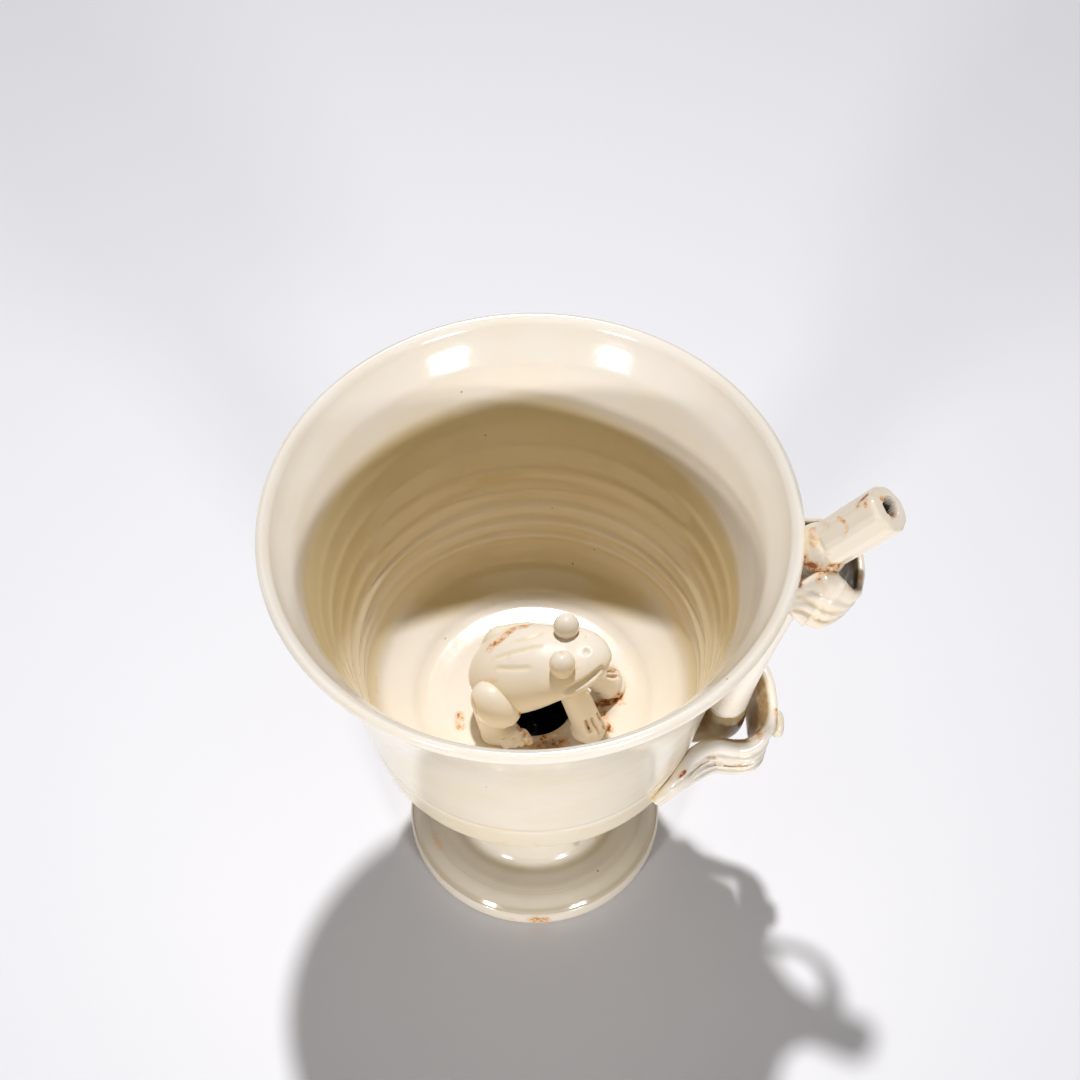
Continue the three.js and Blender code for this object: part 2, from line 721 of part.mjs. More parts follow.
function buildFrogEye(side) {
  const profile = [new THREE.Vector2(0, -eyeRadius * 1.2), new THREE.Vector2(eyeRadius * 0.75, -eyeRadius * 1.2)];
  const steps = 5;
  for (let i = 0; i <= steps; i += 1) {
    const angle = THREE.MathUtils.lerp(-0.22, 0.5, i / steps) * Math.PI;
    profile.push(new THREE.Vector2(eyeRadius * Math.cos(angle), eyeRadius * Math.sin(angle)));
  }
  profile[profile.length - 1].x = 0;
  const geometry = turned(profile, 14);
  geometry.translate(eyeForward, side * eyeSpread, eyeHeight);
  return toSolid(geometry).subtract(frogSkin(slipGap));
}

function toes(heel, aim, spread, length) {
  const parts = [];
  const across = new THREE.Vector3(-aim.y, aim.x, 0);
  for (let i = 0; i < toeCount; i += 1) {
    const aside = (i / (toeCount - 1) - 0.5) * spread;
    const root = heel.clone().addScaledVector(across, aside * 0.8);
    const tip = heel.clone().addScaledVector(across, aside).addScaledVector(aim, length);
    parts.push(limb(root, tip, toeRadius, toeRadius, 8, 2));
  }
  return unite(parts);
}

function buildHindLeg(side, floor) {
  const at = (x, y, z) => new THREE.Vector3(x, side * y, z);
  const aim = new THREE.Vector3(0.8, side * 0.6, 0).normalize();
  const instep = at(soleLength - hockBack, hockAside, soleHeight);
  const near = side < 0;
  const hip = near ? at(-hipBack, hipAside, hipHeight) : at(-farHipBack, farHipAside, farHipHeight);
  const knee = near ? at(-frogKneeBack, frogKneeAside, frogKneeHeight) : at(-farKneeBack, farKneeAside, farKneeHeight);
  const hipRadius = near ? thighRadius : farThighRadius;
  const leg = unite([
    limb(hip, knee, hipRadius, frogKneeRadius, 12, 3),
    limb(at(-hockBack, hockAside, hockHeight), at(-hockBack, hockAside, heelHeight), legRadius * 1.15, legRadius),
    limb(at(-hockBack, hockAside, soleHeight), instep, legRadius * 1.1, legRadius * 1.05),
    toes(instep, aim, hindToeSpread, hindToeLength),
  ]);
  return leg.subtract(frogSkin(slipGap)).subtract(floor);
}

function buildForeleg(side, floor) {
  const step = side > 0 ? foreStep : 0;
  const at = (x, y, z) => new THREE.Vector3(x, side * y, z);
  const aim = new THREE.Vector3(0.9, side * 0.44, 0).normalize();
  const shoulder = at(shoulderForward + step / 3, shoulderAside, shoulderHeight);
  const wrist = at(wristForward + step, wristAside, wristHeight);
  const palm = at(wristForward + palmLength + step, wristAside, soleHeight);
  const leg = unite([
    limb(shoulder, wrist, legRadius * 1.2, legRadius * 1.1),
    limb(wrist, palm, legRadius * 1.1, legRadius),
    toes(palm, aim, foreToeSpread, foreToeLength),
  ]);
  return leg.subtract(frogSkin(slipGap)).subtract(floor);
}

// Assembly

function piece(name, solid) {
  const material = new THREE.MeshStandardMaterial(glaze);
  const mesh = new THREE.Mesh(toGeometry(solid), material);
  mesh.name = name;
  return mesh;
}

const cup = new THREE.Group();
cup.add(piece('bowl', buildBowl()));
cup.add(piece('foot', buildFoot()));
cup.add(piece('suction_tube', buildTube()));
cup.add(piece('mouthpiece', buildMouthpiece()));
cup.add(piece('lower_strap', buildLowerStrap()));
cup.add(piece('upper_strap', buildUpperStrap()));
const lowerStud = buildStud(lowerStrapLine(), 0.545, lowerStrapThickness / 2, studRadius, studThickness);
const upperStud = buildStud(upperStrapLine(), 0.47, upperStrapThickness / 2, upperStudRadius, upperStudThickness);
cup.add(piece('lower_stud', lowerStud));
cup.add(piece('upper_stud', upperStud));

const frog = new THREE.Group();
const frogGround = floorHeightAt(holeRadius * 1.6);
frog.position.set(frogForward, frogAside, frogGround);
frog.rotation.z = frogYaw;
frog.updateMatrix();
const floorHere = toSolid(floorEnvelope().applyMatrix4(frog.matrix.clone().invert()));
frog.add(piece('frog_body', buildFrogBody()));
for (const [name, side] of [['right', -1], ['left', 1]]) {
  frog.add(piece(`frog_eye_${name}`, buildFrogEye(side)));
  frog.add(piece(`frog_hind_leg_${name}`, buildHindLeg(side, floorHere)));
  frog.add(piece(`frog_foreleg_${name}`, buildForeleg(side, floorHere)));
}
cup.add(frog);

// The origin lies on the table under the middle of the whole outline, handle side included
const extent = new THREE.Box3().setFromObject(cup);
const middle = extent.getCenter(new THREE.Vector3());
cup.position.set(-middle.x, -middle.y, -extent.min.z);
cup.updateMatrixWorld(true);

export default cup;
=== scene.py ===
from math import cos, exp, pi, radians, sin, sqrt, tau

import bmesh
import bpy
from mathutils import Matrix, Vector, noise
from mathutils.bvhtree import BVHTree
from mathutils.kdtree import KDTree


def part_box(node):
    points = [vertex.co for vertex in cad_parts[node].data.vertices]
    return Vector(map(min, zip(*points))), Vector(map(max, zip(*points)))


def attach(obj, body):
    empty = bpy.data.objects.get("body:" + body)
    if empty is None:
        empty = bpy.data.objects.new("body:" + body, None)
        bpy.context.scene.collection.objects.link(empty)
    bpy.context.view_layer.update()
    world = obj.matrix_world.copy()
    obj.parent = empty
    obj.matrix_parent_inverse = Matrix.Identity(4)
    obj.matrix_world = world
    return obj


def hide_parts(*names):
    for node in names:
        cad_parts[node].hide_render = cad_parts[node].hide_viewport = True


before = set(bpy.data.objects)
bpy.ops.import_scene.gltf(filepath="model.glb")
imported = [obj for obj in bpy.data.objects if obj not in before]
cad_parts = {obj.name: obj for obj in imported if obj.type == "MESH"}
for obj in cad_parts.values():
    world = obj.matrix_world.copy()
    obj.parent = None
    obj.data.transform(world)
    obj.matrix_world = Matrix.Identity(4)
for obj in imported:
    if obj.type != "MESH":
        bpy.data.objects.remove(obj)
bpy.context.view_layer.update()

# All is modelled in millimetres, with heights from the table and the cup's axis at x = y = 0; TO_FRAME carries it
# to the frame
BOWL_LOW, BOWL_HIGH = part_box("bowl")
CUP_AXIS = Vector(((BOWL_LOW.x + BOWL_HIGH.x) / 2, (BOWL_LOW.y + BOWL_HIGH.y) / 2, 0))
TO_FRAME = Matrix.Translation(CUP_AXIS) @ Matrix.Scale(0.001, 4)


# The camera of the photograph

PHOTO_SIZE = 1080
PHOTO_FOCUS = 3006.95
SENSOR_WIDTH = 36
NEAR_CLIP = 0.01
CAMERA_TILT = radians(54.283)
CAMERA_ROLL = radians(-0.735)
CAMERA_AIM = Vector((1.65, 0, 88.98))
CAMERA_REACH = 495

FORWARD = Vector((0, cos(CAMERA_TILT), -sin(CAMERA_TILT)))
LEVEL = Vector((1, 0, 0))
RAISED = LEVEL.cross(FORWARD)
RIGHT = cos(CAMERA_ROLL) * LEVEL + sin(CAMERA_ROLL) * RAISED
UP = cos(CAMERA_ROLL) * RAISED - sin(CAMERA_ROLL) * LEVEL
EYE = CAMERA_AIM - CAMERA_REACH * FORWARD


def photo_ray(px, py):
    """Heading of the ray from the camera through a pixel of the photograph."""
    across = (px - PHOTO_SIZE / 2) / PHOTO_FOCUS
    down = (py - PHOTO_SIZE / 2) / PHOTO_FOCUS
    return (FORWARD + across * RIGHT - down * UP).normalized()


def set_camera():
    data = bpy.data.cameras.new("photo_camera")
    data.sensor_width = SENSOR_WIDTH
    data.lens = PHOTO_FOCUS / PHOTO_SIZE * SENSOR_WIDTH
    data.clip_start = NEAR_CLIP
    camera = bpy.data.objects.new("photo_camera", data)
    turn = Matrix((RIGHT, UP, -FORWARD)).transposed().to_4x4()
    camera.matrix_world = Matrix.Translation(TO_FRAME @ EYE) @ turn
    bpy.context.scene.collection.objects.link(camera)
    bpy.context.scene.camera = camera


# Lines, and the ways to throw, roll and press clay

ROLL_SIDES = 28
ROLL_TIP = 0.02

def smooth_line(points, per_span):
    """Points along a smooth curve through the given ones."""
    points = [Vector(p) for p in points]
    line = []
    for i in range(len(points) - 1):
        before, start = points[max(i - 1, 0)], points[i]
        end, after = points[i + 1], points[min(i + 2, len(points) - 1)]
        for k in range(per_span):
            t = k / per_span
            lean_in, lean_out = (end - before) / 2, (after - start) / 2
            line.append((2 * t ** 3 - 3 * t ** 2 + 1) * start + (t ** 3 - 2 * t ** 2 + t) * lean_in
                        + (3 * t ** 2 - 2 * t ** 3) * end + (t ** 3 - t ** 2) * lean_out)
    line.append(points[-1])
    return line


def blend(low, high, value):
    t = min(1, max(0, (value - low) / (high - low)))
    return t * t * (3 - 2 * t)


def mix(a, b, share):
    return a + (b - a) * share


def spun(profile, sides, closed=False):
    """A thrown shape: the profile (radius, height) spun about the cup's axis."""
    bm = bmesh.new()
    verts = [bm.verts.new((r, 0, z)) for r, z in profile]
    edges = [bm.edges.new(pair) for pair in zip(verts, verts[1:])]
    if closed:
        edges.append(bm.edges.new((verts[-1], verts[0])))
    bmesh.ops.spin(bm, geom=verts + edges, angle=tau, steps=sides, axis=(0, 0, 1), cent=(0, 0, 0), use_merge=True)
    bmesh.ops.remove_doubles(bm, verts=bm.verts, dist=1e-4)
    bmesh.ops.recalc_face_normals(bm, faces=bm.faces)
    return bm


def swept(ring, stations):
    """A clay roll: the ring of points carried through the stations, each a matrix, and closed at both ends."""
    bm = bmesh.new()
    verts = [bm.verts.new(stations[0] @ Vector(p)) for p in ring]
    edges = [bm.edges.new((verts[i - 1], verts[i])) for i in range(len(verts))]
    bmesh.ops.edgeloop_fill(bm, edges=edges)
    for here, ahead in zip(stations, stations[1:]):
        grown = bmesh.ops.extrude_edge_only(bm, edges=edges)["geom"]
        edges = [g for g in grown if isinstance(g, bmesh.types.BMEdge)]
        fresh = [g for g in grown if isinstance(g, bmesh.types.BMVert)]
        bmesh.ops.transform(bm, matrix=ahead @ here.inverted(), verts=fresh)
    bmesh.ops.edgeloop_fill(bm, edges=edges)
    bmesh.ops.recalc_face_normals(bm, faces=bm.faces)
    return bm


def ball(centre, half, turn=None, sides=32, bands=20):
    """A round lump of clay with its three half sizes."""
    bm = bmesh.new()
    bmesh.ops.create_uvsphere(bm, u_segments=sides, v_segments=bands, radius=1)
    place = Matrix.Translation(centre) @ (turn or Matrix.Identity(4)) @ Matrix.Diagonal((*half, 1))
    bmesh.ops.transform(bm, matrix=place, verts=bm.verts)
    return bm


def heading(direction, up=(0, 0, 1)):
    """Turn that carries +X to the direction and keeps +Z near up."""
    x = Vector(direction).normalized()
    y = Vector(up).cross(x).normalized()
    return Matrix((x, y, x.cross(y))).transposed().to_4x4()


def circle(sides):
    """Points of a ring of radius 1 across the X axis."""
    return [(0, cos(tau * i / sides), sin(tau * i / sides)) for i in range(sides)]


def roll(start, end, start_half, end_half, up=(0, 0, 1), rounds=5):
    """A tapered clay roll with round ends; each half is its (sideways, upward) half thickness."""
    start, end = Vector(start), Vector(end)
    turn = heading(end - start, up)
    length = (end - start).length
    stations = []
    steps = [(-cos(pi / 2 * k / rounds), sin(pi / 2 * k / rounds), 0) for k in range(rounds + 1)]
    steps += [(0, 1, k / rounds) for k in range(1, rounds)]
    steps += [(sin(pi / 2 * k / rounds), cos(pi / 2 * k / rounds), 1) for k in range(rounds + 1)]
    for bulge, size, share in steps:
        wide, high = mix(start_half[0], end_half[0], share), mix(start_half[1], end_half[1], share)
        along = length * share + bulge * (wide + high) / 2
        size = max(size, ROLL_TIP)
        stations.append(Matrix.Translation(start) @ turn @ Matrix.Translation((along, 0, 0))
                        @ Matrix.Diagonal((1, wide * size, high * size, 1)))
    return swept(circle(ROLL_SIDES), stations)


def joined(parts, grain, rounds=4):
    """Clay parts pressed into one: remeshed at the grain size and smoothed over."""
    whole = bpy.data.meshes.new("clay")
    bm = bmesh.new()
    for part in parts:
        loose = bpy.data.meshes.new("clay_part")
        part.to_mesh(loose)
        part.free()
        bm.from_mesh(loose)
        bpy.data.meshes.remove(loose)
    bm.to_mesh(whole)
    bm.free()
    lump = bpy.data.objects.new("clay", whole)
    bpy.context.scene.collection.objects.link(lump)
    remesh = lump.modifiers.new("press", "REMESH")
    remesh.mode = "VOXEL"
    remesh.voxel_size = grain
    pressed = bpy.data.meshes.new_from_object(lump.evaluated_get(bpy.context.evaluated_depsgraph_get()))
    bpy.data.objects.remove(lump)
    bpy.data.meshes.remove(whole)
    bm = bmesh.new()
    bm.from_mesh(pressed)
    bpy.data.meshes.remove(pressed)
    for _ in range(rounds):
        bmesh.ops.smooth_vert(bm, verts=bm.verts, factor=0.5, use_axis_x=True, use_axis_y=True, use_axis_z=True)
    return bm


# Work on the surface

GROOVE_FADE = 0.25

def nearest_on(line, point):
    """Distance from a point to a line of points, and how far along the line, 0 to 1, the nearest place is."""
    best, share = 1e9, 0
    for i, (a, b) in enumerate(zip(line, line[1:])):
        along = b - a
        t = min(1, max(0, (point - a).dot(along) / max(along.length_squared, 1e-9)))
        gap = (point - a - t * along).length
        if gap < best:
            best, share = gap, (i + t) / (len(line) - 1)
    return best, share


def press(bm, line, width, depth, fade):
    """Presses a groove along a line of points, which runs out over the share fade of it at both ends.

    A negative depth raises a ridge.
    """
    bm.normal_update()
    low = [min(p[k] for p in line) - width for k in range(3)]
    high = [max(p[k] for p in line) + width for k in range(3)]
    moves = []
    for v in bm.verts:
        if not all(low[k] < v.co[k] < high[k] for k in range(3)):
            continue
        gap, share = nearest_on(line, v.co)
        if gap < width:
            ends = min(1, share / fade, (1 - share) / fade) if fade else 1
            moves.append((v, v.normal * (-depth * sqrt(max(ends, 0)) * cos(pi / 2 * gap / width) ** 2)))
    for v, move in moves:
        v.co += move


def seen_on(bm, pixels):
    """Where the camera sees these pixels of the photograph on a piece."""
    tree = BVHTree.FromBMesh(bm)
    found = [tree.ray_cast(EYE, photo_ray(*pixel))[0] for pixel in pixels]
    return [p for p in found if p]


def groove(bm, pixels, width, depth):
    """Presses a groove where the camera sees these pixels; a pit is shorter than it is wide and doesn't fade."""
    line = seen_on(bm, pixels)
    if len(line) > 1:
        is_pit = (line[-1] - line[0]).length < width
        press(bm, smooth_line(line, 4), width, depth, 0 if is_pit else GROOVE_FADE)


# The bowl

BOWL_SIDES = 300
LIP_RADIUS = 45
LIP_TILT = (0.013, 0.005)
LIP_SWAY = 0.12
WAIST_RADIUS = 29
WAIST_HEIGHT = 38.5
WALL_TOP = 92.7
CONE_SHARE, FLARE_SHARE = 0.62, 0.38
FLARE_POWER = 3.4
WALL = 2.1
OUTSIDE_INSET = 0.05
FLOOR_EDGE = 20.9
FLOOR_EDGE_HEIGHT = 43.6
FLOOR_DISH = 3.8


def wall_radius(height):
    """Outer radius of the wall: a cone, and a flare that opens towards the lip."""
    t = max(0, (height - WAIST_HEIGHT) / (WALL_TOP - WAIST_HEIGHT))
    return WAIST_RADIUS + (LIP_RADIUS - WAIST_RADIUS) * (CONE_SHARE * t + FLARE_SHARE * t ** FLARE_POWER)


def floor_height(radius):
    return FLOOR_EDGE_HEIGHT - FLOOR_DISH * (1 - min(1, radius / FLOOR_EDGE) ** 2)


def bearing(co):
    """Angle of a point round the cup's axis: 0 straight behind, more to the right, less to the left."""
    return co.xy.angle_signed(Vector((0, 1)), 0)


def curve(points, per_span):
    return [(p.x, p.z) for p in smooth_line([(r, 0, z) for r, z in points], per_span)]


def bowl_profile():
    floor = [(r, floor_height(r)) for r in (8.4, 11)]
    floor += [(12.6, 41.12), (14.2, 41.42), (15.6, 41.65), (16.8, 41.8), (18, 41.9), (19, 42.0), (20.2, 42.35),
              (21.6, 43.1), (24.4, 43.9), (26.6, 45.0), (28.0, 47.0), (wall_radius(49) - WALL, 49)]
    ringed = [(wall_radius(z) - WALL, z) for z in (49.5 + 0.5 * k for k in range(62))]
    flared = [(37.34, 81), (38.35, 84), (39.2, 86.4), (40.2, 88.2), (41.4, 90.2), (42.0, 91.3), (42.4, 92.1)]
    lip = [(42.7, 92.75), (43.05, 93.28), (43.5, 93.68), (44.1, 93.87), (44.6, 93.6), (44.92, 93.0), (45, 92.2),
           (44.65, 91.3), (44.0, 90.2)]
    outer_heights = (88.5, 85, 79, 72, 65, 58, 52, 48, 46.6, 46.1, 45.7, 45.3, 44.8, 43, 40.4)
    outside = [(wall_radius(z) - OUTSIDE_INSET, z) for z in outer_heights]
    waist = [(29.0, 38.9), (28.7, 38.0), (27.6, 36.9), (25, 35.2), (21, 33.2), (17, 31.7), (14.2, 30.8),
             (12.6, 29.9)]
    hidden = [(11.9, 29.2), (8.8, 30.0), (8.8, 34.2), (7.4, 35.2), (7.0, 36.2), (6.9, 38), (7.0, 39.5),
              (7.5, 40.25)]
    return curve(floor, 3) + ringed + curve(flared + lip, 4) + curve(outside + waist, 3) + hidden


RING_HEIGHTS = [47.8, 50.4, 53.6, 57.5, 61.7, 65.9, 70.6, 75.5]
RING_DEPTHS = [0.05, 0.3, 0.42, 0.42, 0.22, 0.24, 0.14, 0.08]
RING_ABOVE, RING_BELOW = 0.65, 1.6
RING_ZONE = (45, 83)
OUTER_RING_HEIGHTS = [48 + 7 * k for k in range(6)]
OUTER_RING_DEPTH, OUTER_RING_WIDTH = 0.015, 1.4
OUTER_GROOVE_HEIGHT, OUTER_GROOVE_DEPTH, OUTER_GROOVE_WIDTH = 45.7, 0.12, 0.7
OUTER_ZONE = (44, 89.5)
FLOOR_WAVE = 0.012
FLOOR_LOW = 39.8


def throwing_rings(angle, height):
    """Depth of the rings that the fingers left inside the wall: short above each crest and long below it."""
    push = 0
    for k, (middle, depth) in enumerate(zip(RING_HEIGHTS, RING_DEPTHS)):
        away = height - (middle + 0.35 * sin(angle + k))
        swell = 0.8 + 0.35 * sin(1.9 * angle + 1.7 * k)
        push += depth * swell * exp(-(away / (RING_ABOVE if away > 0 else RING_BELOW)) ** 2)
    return push


def outer_rings(angle, height):
    """Depth of the faint rings outside the wall and of the groove above the waist."""
    push = 0
    for k, middle in enumerate(OUTER_RING_HEIGHTS):
        push += OUTER_RING_DEPTH * exp(-((height - middle - 0.4 * sin(angle + k)) / OUTER_RING_WIDTH) ** 2)
    away = height - OUTER_GROOVE_HEIGHT - 0.15 * sin(angle)
    return push + OUTER_GROOVE_DEPTH * exp(-(away / OUTER_GROOVE_WIDTH) ** 2)


def build_bowl():
    bm = spun(bowl_profile(), BOWL_SIDES, closed=True)
    for v in bm.verts:
        z, r, angle = v.co.z, v.co.xy.length, bearing(v.co)
        outward = Vector((v.co.x, v.co.y, 0)).normalized()
        middle = wall_radius(z) - WALL / 2
        if r < middle and RING_ZONE[0] < z < RING_ZONE[1]:
            v.co -= outward * throwing_rings(angle, z)
        elif r > middle and OUTER_ZONE[0] < z < OUTER_ZONE[1]:
            v.co -= outward * outer_rings(angle, z)
        elif r < FLOOR_EDGE and z > FLOOR_LOW:
            v.co.z += FLOOR_WAVE * sin(r * 2.1 + 0.5 * sin(angle)) * blend(8, 11, r)
        rise = blend(60, 93, z)
        v.co.z += rise * (LIP_TILT[0] * v.co.x + LIP_TILT[1] * v.co.y)
        v.co.z += rise * LIP_SWAY * sin(2 * angle + 0.6)
    return bm


# The foot

FOOT_SIDES = 200
FOOT_RIPPLE = 0.015
FOOT_OVAL = 0.004
def build_foot():
    top = [(0, 14.5), (7.2, 14.5), (8.8, 16.1), (8.8, 29.6), (11.0, 30.2)]
    stem = [(12.1, 29.6), (12.0, 26), (11.95, 21.5), (12.0, 18), (12.05, 15), (12.35, 12.3), (12.9, 10.2),
            (13.5, 8.7)]
    flare = [(14.05, 7.65), (14.7, 6.92), (15.5, 6.6), (16.5, 6.5), (17.7, 6.46), (18.9, 6.34), (19.75, 6.12),
             (20.05, 5.95), (20.4, 5.77), (21.0, 5.35), (21.7, 4.7)]
    edge = [(22.2, 4.15), (22.55, 3.72), (22.76, 3.46), (22.95, 3.34), (23.12, 3.1), (23.28, 2.6), (23.3, 1.5),
            (23.1, 0.6), (22.8, 0.2), (22.4, 0.03), (21.8, 0)]
    under = [(20.2, 0), (19.6, 0.2), (18.2, 0.9), (15, 1.7), (11.6, 2.2), (9.6, 4), (8.8, 9.6), (7.8, 11), (0, 11)]
    line = smooth_line([(r, 0, z) for r, z in stem + flare + edge], 6)
    profile = top + [(p.x, p.z) for p in line] + under
    bm = spun(profile, FOOT_SIDES)
    for v in bm.verts:
        r, z = v.co.xy.length, v.co.z
        if r > 12.5 and 4.2 < z < 15:
            v.co.z += FOOT_RIPPLE * sin(3.1 * r)
        if r > 14 and z < 10:
            v.co.xy *= 1 + FOOT_OVAL * sin(2 * bearing(v.co) + 1)
    return bm


# The suction tube and the mouthpiece; MOUTH_HALF is half its thickness by how far round a facet a point lies

TUBE_TURN = radians(-3.6)
TUBE_RADIUS = 3.9
TUBE_OFF = 4.5
TUBE_SIDES = 48
ELBOW_RADIUS = 3.55
KNEE = 89.1
KNUCKLE_RADIUS = 4.75
MOUTH_RISE = radians(48)
MOUTH_WAY = Vector((cos(MOUTH_RISE), 0, sin(MOUTH_RISE)))
MOUTH_LENGTH = 16
MOUTH_FACETS = 8
MOUTH_HALF = {0: 4.0, 0.17: 4.05, 0.34: 4.18}
BORE_RADIUS = 1.6
BORE_WANDER = 0.45
BORE_EDGE = 0.3
BORE_DEPTH = 6


def on_wall(turn, height, off):
    reach = wall_radius(height) + off
    return Vector((reach * cos(turn), reach * sin(turn), height))


def tube_point(height):
    return on_wall(TUBE_TURN, height, TUBE_OFF)


def stations_along(line, size_at):
    stations = []
    for i, here in enumerate(line):
        ahead = line[min(i + 1, len(line) - 1)] - line[max(i - 1, 0)]
        wide, high = size_at(i / (len(line) - 1))
        stations.append(Matrix.Translation(here) @ heading(ahead, (0, 1, 0)) @ Matrix.Diagonal((1, wide, high, 1)))
    return stations


def build_tube():
    line = smooth_line([tube_point(z) for z in (42.3, 47, 53, 60, 68, 76, 83, KNEE)], 8)

    def size_at(share):
        size = TUBE_RADIUS * (1 - 0.03 * sin(9 * share)) * (1 - 0.45 * exp(-(share / 0.022) ** 2))
        return size, size

    pipe = swept(circle(TUBE_SIDES), stations_along(line, size_at))
    bend = [on_wall(TUBE_TURN, 34.7, -3.5), on_wall(TUBE_TURN, 35.1, 1.2), on_wall(TUBE_TURN, 36.2, 4.6),
            on_wall(TUBE_TURN, 39.8, 5.2), tube_point(44), tube_point(48)]
    along_bend = stations_along(smooth_line(bend, 6), lambda share: (ELBOW_RADIUS, ELBOW_RADIUS))
    return joined([pipe, swept(circle(TUBE_SIDES), along_bend)], 0.25, 3)


def build_mouthpiece():
    centre = tube_point(KNEE)
    turn = heading(MOUTH_WAY, (0, 1, 0))
    ring = []
    for i in range(MOUTH_FACETS):
        for lean in (-0.34, -0.17, 0, 0.17, 0.34):
            angle = tau * (i + 0.5 + lean) / MOUTH_FACETS
            ring.append((0, MOUTH_HALF[abs(lean)] * cos(angle), MOUTH_HALF[abs(lean)] * sin(angle)))
    steps = [(0, 0.93), (3, 0.97), (8, 1), (13, 1.01), (14.9, 1.02), (15.35, 1), (15.6, 0.95), (15.8, 0.86),
             (MOUTH_LENGTH, 0.6)]
    stations = [Matrix.Translation(centre) @ turn @ Matrix.Translation((x, 0, 0)) @ Matrix.Diagonal((1, s, s, 1))
                for x, s in steps]
    bm = joined([swept(ring, stations), ball(centre, (KNUCKLE_RADIUS,) * 3)], 0.17, 2)
    for v in bm.verts:
        place = v.co - centre
        along = place.dot(MOUTH_WAY)
        out = place - MOUTH_WAY * along
        if along > MOUTH_LENGTH - 1.5 and out.length < 2.6:
            edge = BORE_RADIUS + BORE_WANDER * noise.noise(out.normalized() * 1.7)
            v.co -= MOUTH_WAY * BORE_DEPTH * blend(edge + BORE_EDGE, edge - BORE_EDGE, out.length)
    return bm


# The straps: across and outward places on the ribbed section, in shares of its width and thickness
STRAP_HALF = ((-0.5, 0), (-0.47, 0.3), (-0.36, 0.44), (-0.27, 0.34), (-0.16, 0.5), (-0.05, 0.4), (0.06, 0.52),
              (0.17, 0.38), (0.28, 0.46), (0.4, 0.42), (0.48, 0.26), (0.5, 0), (0.4, -0.42), (0, -0.5), (-0.4, -0.42))


def strap(line, width_at, thickness_at, lean_at):
    """A ribbed strap along a line; a positive lean turns its upper edge outward."""
    stations = []
    for i, here in enumerate(line):
        share = i / (len(line) - 1)
        ahead = (line[min(i + 1, len(line) - 1)] - line[max(i - 1, 0)]).normalized()
        out = ahead.cross(Vector((0, 0, 1))).normalized()
        up = out.cross(ahead)
        lean = Matrix.Rotation(lean_at(share), 3, ahead)
        turn = Matrix((ahead, lean @ up, lean @ out)).transposed().to_4x4()
        size = Matrix.Diagonal((1, width_at(share), thickness_at(share), 1))
        stations.append(Matrix.Translation(here) @ turn @ size)
    corners = [(0, across, away) for across, away in STRAP_HALF]
    ring = smooth_line([corners[-1]] + corners + corners[:2], 4)[4:-4]
    return swept(ring[:-1], stations)


def leaf(share, full, tip, start=0.28):
    """A size along a strap, which grows from its tips to its full size."""
    grown = min(1, share / start, (1 - share) / 0.14)
    return tip + (full - tip) * sin(pi / 2 * grown)


def twist(share, corner, start, front, side):
    """The strap's lean, from the start past the front to the side behind the corner."""
    first = mix(start, front, blend(0.04, 0.2, share))
    return mix(first, side, blend(corner - 0.09, corner + 0.07, share))


def beside(foot, forward, aside, height):
    return Vector((foot.x + forward, foot.y + aside, height))


def build_lower_strap():
    high, low = 41.4, 37.5
    side = lambda height, forward, aside: beside(tube_point(height), forward, aside, height)
    line = smooth_line([
        on_wall(TUBE_TURN - radians(41), high - 2, 0.6), on_wall(TUBE_TURN - radians(33.5), high, 1.3),
        on_wall(TUBE_TURN - radians(25), high, 1.8), side(high - 1.4, -2.4, -9.8), side(low + 0.4, 1.8, -8.8),
        side(low, 4.8, -8), side(low + 0.6, 6.9, -4.8), side(low + 1.5, 7, 1.6), side(low + 2.2, 5.3, 6.2),
        side(high - 1.3, 0.3, 8.7), on_wall(TUBE_TURN + radians(20), high - 1, 1.8),
        on_wall(TUBE_TURN + radians(27), high - 0.8, 1)], 12)
    wide = lambda s: mix(6.8, 9.9, blend(0.46, 0.6, s))
    thick = lambda s: mix(3.4, 2.5, blend(0.46, 0.6, s))
    return strap(line, lambda s: leaf(s, wide(s), 4.4), lambda s: leaf(s, thick(s), 1.6),
                 lambda s: twist(s, 0.52, 0.25, -0.3, 0.42))


def build_upper_strap():
    high, low = 84.5, 80.8
    foot = tube_point(high)
    side = lambda forward, aside, height: beside(foot, forward, aside, height)
    line = smooth_line([
        on_wall(TUBE_TURN - radians(13), high + 2.9, 0.4), on_wall(TUBE_TURN - radians(11), high + 2.8, 2.2),
        side(1.3, -6.8, low + 4.4), side(4, -7.1, low + 2.7), side(6.3, -6, low + 0.9), side(7.7, -3.4, low - 0.3),
        side(8.2, 0.9, low + 0.3), side(7.5, 4.9, low + 0.3), side(5.2, 8.2, low - 0.3), side(1.2, 9.6, low - 1.2),
        on_wall(TUBE_TURN + radians(15.5), low - 2.1, 1.2), on_wall(TUBE_TURN + radians(19), low - 2.3, 0.5)], 12)
    swell = lambda s: blend(0.07, 0.2, s) - blend(0.2, 0.36, s)
    wide = lambda s: mix(7.6, 11.2, swell(s)) - 0.8 * blend(0.55, 0.95, s)
    return strap(line, lambda s: leaf(s, wide(s), 3.7, 0.2), lambda s: leaf(s, 1.9, 1.1),
                 lambda s: twist(s, 0.34, 0, -0.4, 0.35))


